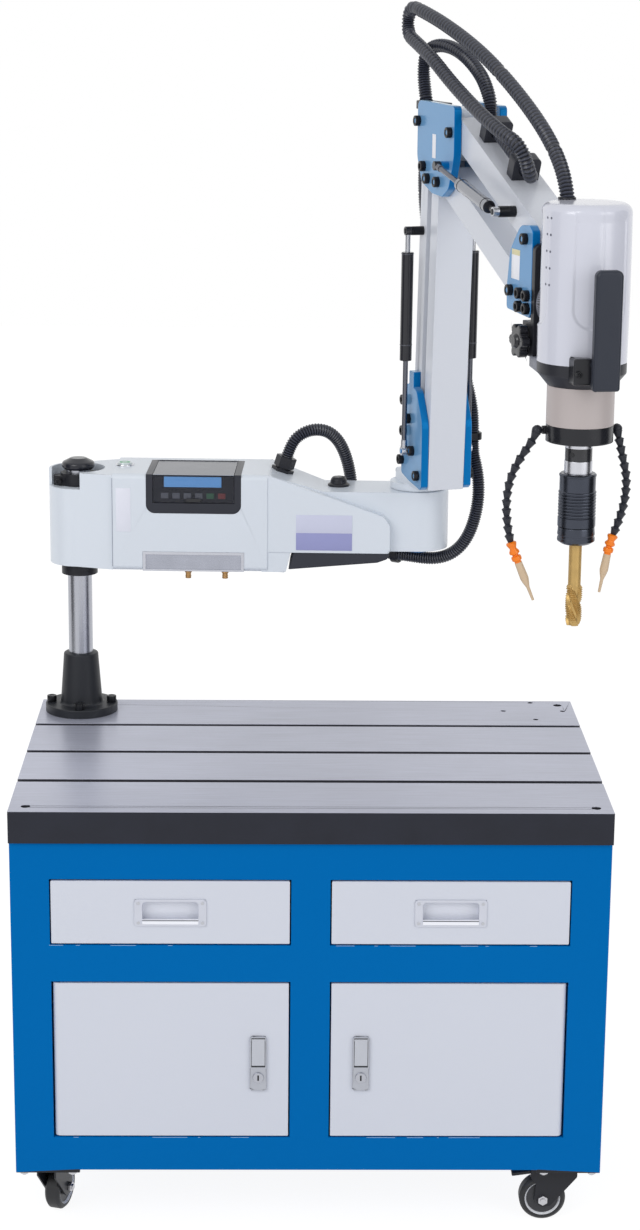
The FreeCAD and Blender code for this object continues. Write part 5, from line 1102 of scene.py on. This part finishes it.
from_cad("column_gas_cylinders", "column_spring_tubes", "spring_black", 0.8, spring_gloss,
         (connector_zinc, lambda p, n: 7.5 < along_spring(p, column_high, column_low) < 32.5))
from_cad("column_gas_rods", "column_spring_rods", "spring_rod", 0.4, rod_chrome,
         (connector_zinc, lambda p, n: along_spring(p, column_low, column_high) < 18.5))
from_cad("forearm_gas_cylinder", "forearm_spring_tube", "spring_grey", 0.8, spring_steel,
         (spring_gloss, lambda p, n: along_spring(p, forearm_high, forearm_low) < 36.0),
         (connector_zinc, lambda p, n: along_spring(p, forearm_high, forearm_low) < 8.5))
from_cad("forearm_gas_rod", "forearm_spring_rod", "spring_rod", 0.4, rod_chrome,
         (spring_gloss, lambda p, n: along_spring(p, forearm_low, forearm_high) < 8.0))
bead_grey = finish("bead_grey", (96, 98, 106), 0.25, metallic=0.5, grain=0.05)
for name, body, low, high, stations, side, cover, slot in (
        ("column_spring_beads_left", "column_spring_tubes", column_low, column_high, (179.0, 35.5), -55.0,
         bead_grey, "spring_black"),
        ("column_spring_beads_right", "column_spring_tubes", column_low, column_high, (179.0, 35.5), 55.0,
         bead_grey, "spring_black"),
        ("forearm_spring_beads", "forearm_upper", forearm_low, forearm_high, (36.5, 134.0), -60.0,
         spring_gloss, "spring_grey")):
    line = (low - high).normalized()
    aim = second_arm(line.x * 1000, 0, line.z * 1000) - second_arm(0, 0, 0)
    beads = []
    for station in stations:
        spot = high + line * station
        bead = torus(40, 8, 9.5, 0.6)
        bead.data.transform(standing(second_arm(spot.x, side, spot.z), aim))
        beads.append(bead)
    beads = joined(name, beads)
    bpy.ops.object.shade_smooth()
    fitted(beads, body, cover)

# ================================================================ head bracket
# A black machined carrier closes the bracket and holds the head's swivel. A lobed plastic
# knob clamps the swivel.
carrier_black = dark_finish("carrier_black", (34, 35, 40), 0.32, drift=0.1, grain=0.15)
knob_gloss = dark_finish("knob_gloss", (28, 29, 34), 0.16, drift=0.08, grain=0.05, coat=0.4)
from_cad("head_swivel_carrier", "head_carrier", "black_metal", 1.0, carrier_black)
from_cad("swivel_clamp_knob", "lock_knob", "black_plastic", 1.6, knob_gloss, segments=3)

# ================================================================ head
# A gloss white moulded cover in two halves over the motor, a black cast collar, a grey
# gearbox and a black ring that carries the hoses.
head_black = dark_finish("head_ring_black", (32, 33, 38), 0.26, drift=0.1, drift_scale=20.0, coat=0.2)
cast_black = dark_finish("head_cast_black", (44, 45, 51), 0.36, drift=0.12, drift_scale=20.0, grain=0.25)
saddle_grey = finish("saddle_grey", (124, 127, 138), 0.4, drift=0.1, grain=0.12)
head_reach = 642.996
head_foot = second_arm(head_reach, 0.0, 0.0)


def on_head_axis(height):
    """The point of the head's axis at a height, along the second arm."""
    return Vector((head_reach, 0.0, height))


collar = softened("head_cast_collar", "head_collar", 1.0)
widened(collar, head_foot,
        lambda z, r: (46.9 if z > 1257.6 else 45.4) if z < 1268.0 and 36.0 < r < 47.4 else None)
dressed(collar, cast_black, (head_black, lambda p, n: p.z < 1290),
        (saddle_grey, lambda p, n: on_second_arm(p).x < 580.0))
web = flat_plate("saddle_web", [(557.6, -43, 1366), (557.6, -43, 1351), (612, -43, 1342), (612, -43, 1366)],
                 86.0, across_arm, second_arm, 1.0)
fitted(web, "head", saddle_grey)
gear_enamel = finish("gear_enamel", (180, 171, 169), 0.38, drift=0.05, drift_scale=8.0, grain=0.12)
from_cad("gearbox_case", "gearbox", "gear_grey", 0.8, gear_enamel)
cover_gloss = finish("cover_gloss", (206, 208, 219), 0.2, drift=0.02, drift_scale=8.0, grain=0.02,
                     coat=0.35, coat_roughness=0.08)


def rounded_step(distance, width):
    """0 outside an outline and 1 inside it, with a rounded step between."""
    t = min(1.0, max(0.0, distance / width + 0.5))
    return t * t * (3 - 2 * t)


def panel_depth(x, z, half, foot, corner):
    """How far a point is inside a panel with rounded lower corners."""
    dx = half - abs(x)
    dz = z - foot
    if dx < corner and dz < corner:
        return corner - math.hypot(corner - dx, corner - dz)
    return min(dx, dz)


def moulded_cover():
    """The cover as a turned shell, with its flat panels and parting line pressed into it."""
    foot, shoulder, crown = 1369.0, 1572.0, 1587.0
    profile = [(0.0, crown)]
    for k in range(12):
        profile.append((8.0 + 40.0 * k / 11, crown - 0.9 * (k / 11) ** 2))
    for k in range(1, 13):
        angle = math.pi / 2 * (1 - k / 12)
        profile.append((48.0 + 14.2 * math.cos(angle), shoulder + 14.1 * math.sin(angle)))
    for k in range(1, 121):
        z = shoulder - (shoulder - foot - 0.3) * k / 120
        profile.append((62.2 + 0.7 * math.sin(math.pi * (z - foot) / (shoulder - foot)), z))
    profile += [(61.4, foot), (48.0, foot)]
    shell = built("head_cover_shell", [(r * mm, 0.0, z * mm) for r, z in profile], [],
                  [(i, i + 1) for i in range(len(profile) - 1)])
    edited(shell,
           lambda: bpy.ops.mesh.spin(steps=240, angle=2 * math.pi, center=(0, 0, 0), axis=(0, 0, 1)),
           lambda: bpy.ops.mesh.remove_doubles(threshold=0.00002), turn_faces_out)
    cover_radius = 62.0
    panel_foot, panel_corner, panel_press, panel_step = 1420.0, 26.0, 2.4, 2.4
    for vertex in shell.data.vertices:
        r = math.hypot(vertex.co.x, vertex.co.y)
        if r < 0.030:
            continue
        angle = math.atan2(vertex.co.y, vertex.co.x)
        z = vertex.co.z / mm
        x = angle * cover_radius
        press = rounded_step(panel_depth(x, z, 40.0, panel_foot, panel_corner), panel_step)
        if abs(angle) > math.radians(60):
            side = (math.pi - abs(angle)) * cover_radius
            press += rounded_step(panel_depth(side, z, 110.0, panel_foot, panel_corner), panel_step)
        press *= panel_press * min(1.0, max(0.0, (1578.0 - z) / 14.0))
        if abs(x) < 0.9 and z > 1396:
            press += 0.7 * min(1.0, (r - 0.03) / 0.01)
        shrink = (r - press * mm) / r
        vertex.co.x *= shrink
        vertex.co.y *= shrink
    shell.data.transform(second_arm_place @ Matrix.Translation(on_head_axis(0.0) * mm))
    return smoothed(shell, 50)


shell = moulded_cover()
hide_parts("head_cover")
fitted(shell, "head", cover_gloss)
# Each vent hole is a grey disc set into the cover: painted shade standing for the dark inside of the hole.
vent_hole_shade = finish("vent_hole_shade", (92, 94, 108), 0.5)
vents = []
for turn in (-84.0, -73.0, 73.0, 84.0):
    outward = second_arm_place.to_3x3() @ facing(turn)
    for row in range(5):
        start = second_arm(*(on_head_axis(1477.0 + row * 22.5) + facing(turn) * 90.0))
        spot = shell.ray_cast(start, -outward)[1]
        vent = drum(20, 1.7, 2.4)
        vent.data.transform(standing(spot - outward * 1.0 * mm, outward))
        vents.append(vent)
fitted(joined("cover_vent_holes", vents), "head", vent_hole_shade)

# The conduit enters the cover's top through a black moulded grommet.
top_gland = chamfered(drum(40, 12.6, 4.0, (0, 0, 1.6)), 1.4, 3)
top_gland.name = "cover_gland"
top_gland.data.transform(standing(second_arm(601.6, -12.0, 1586.0), Vector((0, 0, 1))))
fitted(smoothed(top_gland), "head", gland_black)

# ================================================================ grip
# A moulded grey hand grip stands before the head on a black switch block, which a cap screw
# clamps to the collar.
grip_grey = dark_finish("grip_grey", (46, 50, 60), 0.3, drift=0.08, drift_scale=16.0, grain=0.35,
                        grain_scale=900.0)
grip = softened("hand_grip", "grip_handle", 3.4, 4)
grip.data.transform(Matrix.Translation(head_foot) @ Matrix.Rotation(math.radians(-8.5), 4, "Z")
                    @ Matrix.Translation(-head_foot))
block_side = -18.0
for vertex in grip.data.vertices:
    spot = on_second_arm(vertex.co / mm)
    if spot.x < 724.0 and spot.y < block_side:
        spot.y = block_side + (spot.y - block_side) * 0.74
        vertex.co = second_arm(*spot)
dressed(grip, grip_grey, (head_black, lambda p, n: on_second_arm(p).y < -17.0 and on_second_arm(p).x < 720.0
                          and p.z < 1384))
forward = (second_arm(1000, 0, 0) - second_arm(0, 0, 0)).normalized()
screws("switch_block_screw", "head", socket_screw(4.4, 4.0),
       [standing(second_arm(717.3, -37.4, 1362.0), forward)])

# ================================================================ spindle and chuck
# A polished spindle nose with a black band, and a black oxide quick-change chuck whose ribbed
# body pulls against its lower sleeve.
nose_chrome = metal("nose_polished", (206, 207, 214), 0.3, (60.0, 60.0, 1.0), 0.12, 0.1, 20.0)
nose_band = finish("nose_band", (36, 37, 42), 0.26, grain=0.08, coat=0.2)
from_cad("spindle_nose_turned", "spindle_nose", "nose_steel", 0.6, nose_chrome,
         (nose_band, lambda p, n: 1230.2 < p.z < 1248.0))
# A thin dark disc on the nose stands for the shade inside its key hole: painted shade.
nose_hole_shade = drum(28, 3.6, 1.0)
nose_hole_shade.name = "nose_key_hole_shade_disc"
nose_hole_shade.data.transform(standing(second_arm(*(on_head_axis(1239.5) + facing(-52.0) * 18.7)),
                                  second_arm_place.to_3x3() @ facing(-52.0)))
fitted(nose_hole_shade, "spindle", recess_shade_dark)
chuck_oxide = metal("chuck_oxide", (70, 74, 84), 0.24, (60.0, 60.0, 400.0), 0.2, 0.15, 30.0, metallic=0.85)
from_cad("chuck_lower_sleeve", "chuck_sleeve", "black_metal", 0.5, chuck_oxide)


def lathed(profile, start, end, sides=20):
    """A turned piece along the line from start to end, from its (radius, distance) pairs."""
    aim = (end - start).normalized()
    across = aim.orthogonal().normalized()
    other = aim.cross(across)
    corners = [start + aim * distance + (across * math.cos(2 * math.pi * k / sides)
                                         + other * math.sin(2 * math.pi * k / sides)) * radius
               for radius, distance in profile for k in range(sides)]
    return edited(built("turned", [second_arm(*corner) for corner in corners],
                        tube_faces(len(profile), sides)), turn_faces_out)


chuck_ribs = [(19.0, 0.0), (24.4, 0.0), (26.2, 1.8), (26.2, 3.6), (25.4, 4.2), (25.4, 24.0)]
for rib in range(8):
    foot = 25.0 + rib * 4.5
    chuck_ribs += [(25.3, foot), (26.4, foot + 0.8), (26.6, foot + 1.8), (26.4, foot + 2.8),
                   (25.3, foot + 3.6)]
chuck_ribs += [(25.3, 61.4), (26.6, 62.2), (26.6, 75.0), (25.6, 75.8), (20.0, 75.8)]
chuck = lathed(chuck_ribs, on_head_axis(1212.0), on_head_axis(1136.0), 96)
chuck.name = "chuck_body"
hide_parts("chuck")
fitted(smoothed(chuck, 40), "spindle", chuck_oxide)

# ================================================================ tap
# A gold coated machine tap with spiral flutes. The thread's teeth stand between the flutes.
tap_gold = metal("tap_gold_coat", (190, 158, 98), 0.42, (60.0, 60.0, 1.0), 0.16, 0.3, 60.0, metallic=0.6)


shank, crest = 9.0, 12.0
thread_top, thread_end = 1052.0, 993.2


def tap_radius(z, angle):
    """The radius of the tap's threaded end: teeth, relieved at both ends, and three flutes."""
    tooth = abs(2 * (((z / 3.0) + angle / (2 * math.pi)) % 1.0) - 1)
    radius = crest - 1.75 * min(1.0, max(0.0, 1.25 * tooth - 0.12))
    if z > 1047.5:
        radius = min(radius, shank + (thread_top - z) / 4.5 * 3.0)
    if z < 1005.0:
        radius = min(radius, 9.2 + (z - thread_end) * 0.24)
    phase = (angle * 3 / (2 * math.pi) + (z - 993.0) / 34.0) % 1.0
    cut = max(0.0, 1.0 - abs(phase - 0.5) / 0.25)
    flute_floor = crest - 5.6 * math.sqrt(min(1.0, 1.9 * cut)) if cut > 0 else 99.0
    fade = min(1.0, max(0.0, (thread_top - z) / 12.0))
    return min(radius, shank + (flute_floor - shank) * fade if fade < 1 else flute_floor)


def spiral_tap():
    """A turned shank, then a thread cut by three spiral flutes, drawn at the head's line."""
    rows = []
    z = 1155.0
    while z > 1054.0:
        rows.append((z, False))
        z -= 4.0 if z > 1060.0 else 1.0
    steps = 240
    rows += [(thread_top - (thread_top - thread_end) * k / steps, True) for k in range(steps + 1)]
    sides = 120
    corners = []
    for z, threaded in rows:
        for k in range(sides):
            angle = 2 * math.pi * k / sides
            radius = tap_radius(z, angle) if threaded else shank
            corners.append(second_arm(head_reach + radius * math.cos(angle), radius * math.sin(angle), z))
    return smoothed(edited(built("spiral_tap", corners, tube_faces(len(rows), sides)), turn_faces_out), 30)


tap = spiral_tap()
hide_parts("tap")
fitted(tap, "spindle", tap_gold)

# ================================================================ coolant hoses
# Ball jointed hoses of black acetal bells, each ending in two orange joints and a pale nozzle.
hose_acetal = dark_finish("hose_acetal", (42, 44, 52), 0.3, drift=0.1, drift_scale=60.0, grain=0.06)
hose_orange = finish("hose_orange", (242, 126, 12), 0.34, drift=0.05, drift_scale=60.0, grain=0.06)
nozzle_beige = finish("nozzle_beige", (202, 178, 148), 0.4, drift_scale=60.0, grain=0.06)
hose_pitch = 12.0


def bell_hose(side, route, tip):
    """Black bells along the route, two orange joints and the nozzle, all on the head's line."""
    place = on_head_axis(1257.0)
    points = [place + Vector(point) for point in route]
    spots = along_line(points, hose_pitch)
    bells = []
    for before, after in zip(spots, spots[1:]):
        long = (after - before).length
        bells.append(lathed([(3.0, -1.4), (3.4, 0.2), (4.6, 1.6), (6.4, 2.9), (6.9, 3.3), (6.9, 4.1),
                             (6.3, 4.8), (3.9, long + 0.6), (3.2, long + 1.4)], before, after))
    bells.append(lathed([(2.0, -7.2), (5.2, -5.2), (7.2, -1.8), (7.4, 0.0), (7.2, 1.8), (5.2, 5.2),
                         (2.0, 7.2)], spots[0], spots[1]))
    bells = joined("coolant_bells_" + side, bells)
    collar_start = points[-1]
    collar_end, nozzle_start, nozzle_end = [place + Vector(point) for point in tip]
    long = (collar_end - collar_start).length
    upper = lathed([(3.6, 0.0), (6.6, 1.2), (7.6, 2.6), (7.4, 4.0), (5.0, long * 0.5), (5.0, long * 0.58),
                    (7.5, long - 4.0), (7.2, long - 1.6), (5.0, long)], collar_start, collar_end)
    long = (nozzle_start - collar_end).length
    lower = lathed([(4.4, -0.5), (4.4, 2.0), (6.8, 3.0), (7.4, 5.0), (7.0, 8.6), (5.0, 10.2), (5.0, long)],
                   collar_end, nozzle_start)
    joints = joined("coolant_joints_" + side, [upper, lower])
    middle = collar_end.lerp(nozzle_start, 0.45)
    long = (nozzle_end - middle).length
    nozzle = lathed([(4.4, 0.0), (5.4, 1.0), (6.1, long * 0.42), (5.2, long * 0.5), (2.5, long * 0.66),
                     (1.9, long)], middle, nozzle_end)
    nozzle.name = "coolant_nozzle_" + side
    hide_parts("coolant_hose_" + side)
    for piece, cover in ((bells, hose_acetal), (joints, hose_orange), (nozzle, nozzle_beige)):
        fitted(smoothed(piece, 40), "hose_" + side, cover)


bell_hose("left", [
    (-16.0, -57.0, 15.0), (-17.5, -62.0, 1.5), (-20.5, -69.5, -11.0), (-23.0, -77.5, -24.0),
    (-25.5, -84.5, -38.0), (-27.5, -90.0, -53.0), (-28.3, -93.0, -68.0), (-28.8, -94.4, -83.0),
    (-29.0, -94.4, -98.0), (-28.6, -93.2, -113.0), (-27.7, -91.0, -128.5), (-26.7, -87.5, -144.0)],
    [(-24.7, -81.1, -162.0), (-21.8, -71.7, -186.0), (-16.7, -55.1, -228.0)])
bell_hose("right", [
    (2.0, 56.0, 15.0), (7.5, 57.3, 1.0), (12.0, 58.8, -13.0), (15.5, 61.0, -27.0),
    (18.3, 63.8, -41.5), (19.7, 65.2, -56.5), (19.9, 64.8, -71.5), (19.4, 63.0, -87.0),
    (18.3, 59.8, -102.0), (16.8, 55.5, -117.0), (15.2, 50.2, -132.5)],
    [(13.9, 45.0, -149.0), (12.5, 41.0, -174.0), (10.4, 33.8, -216.0)])
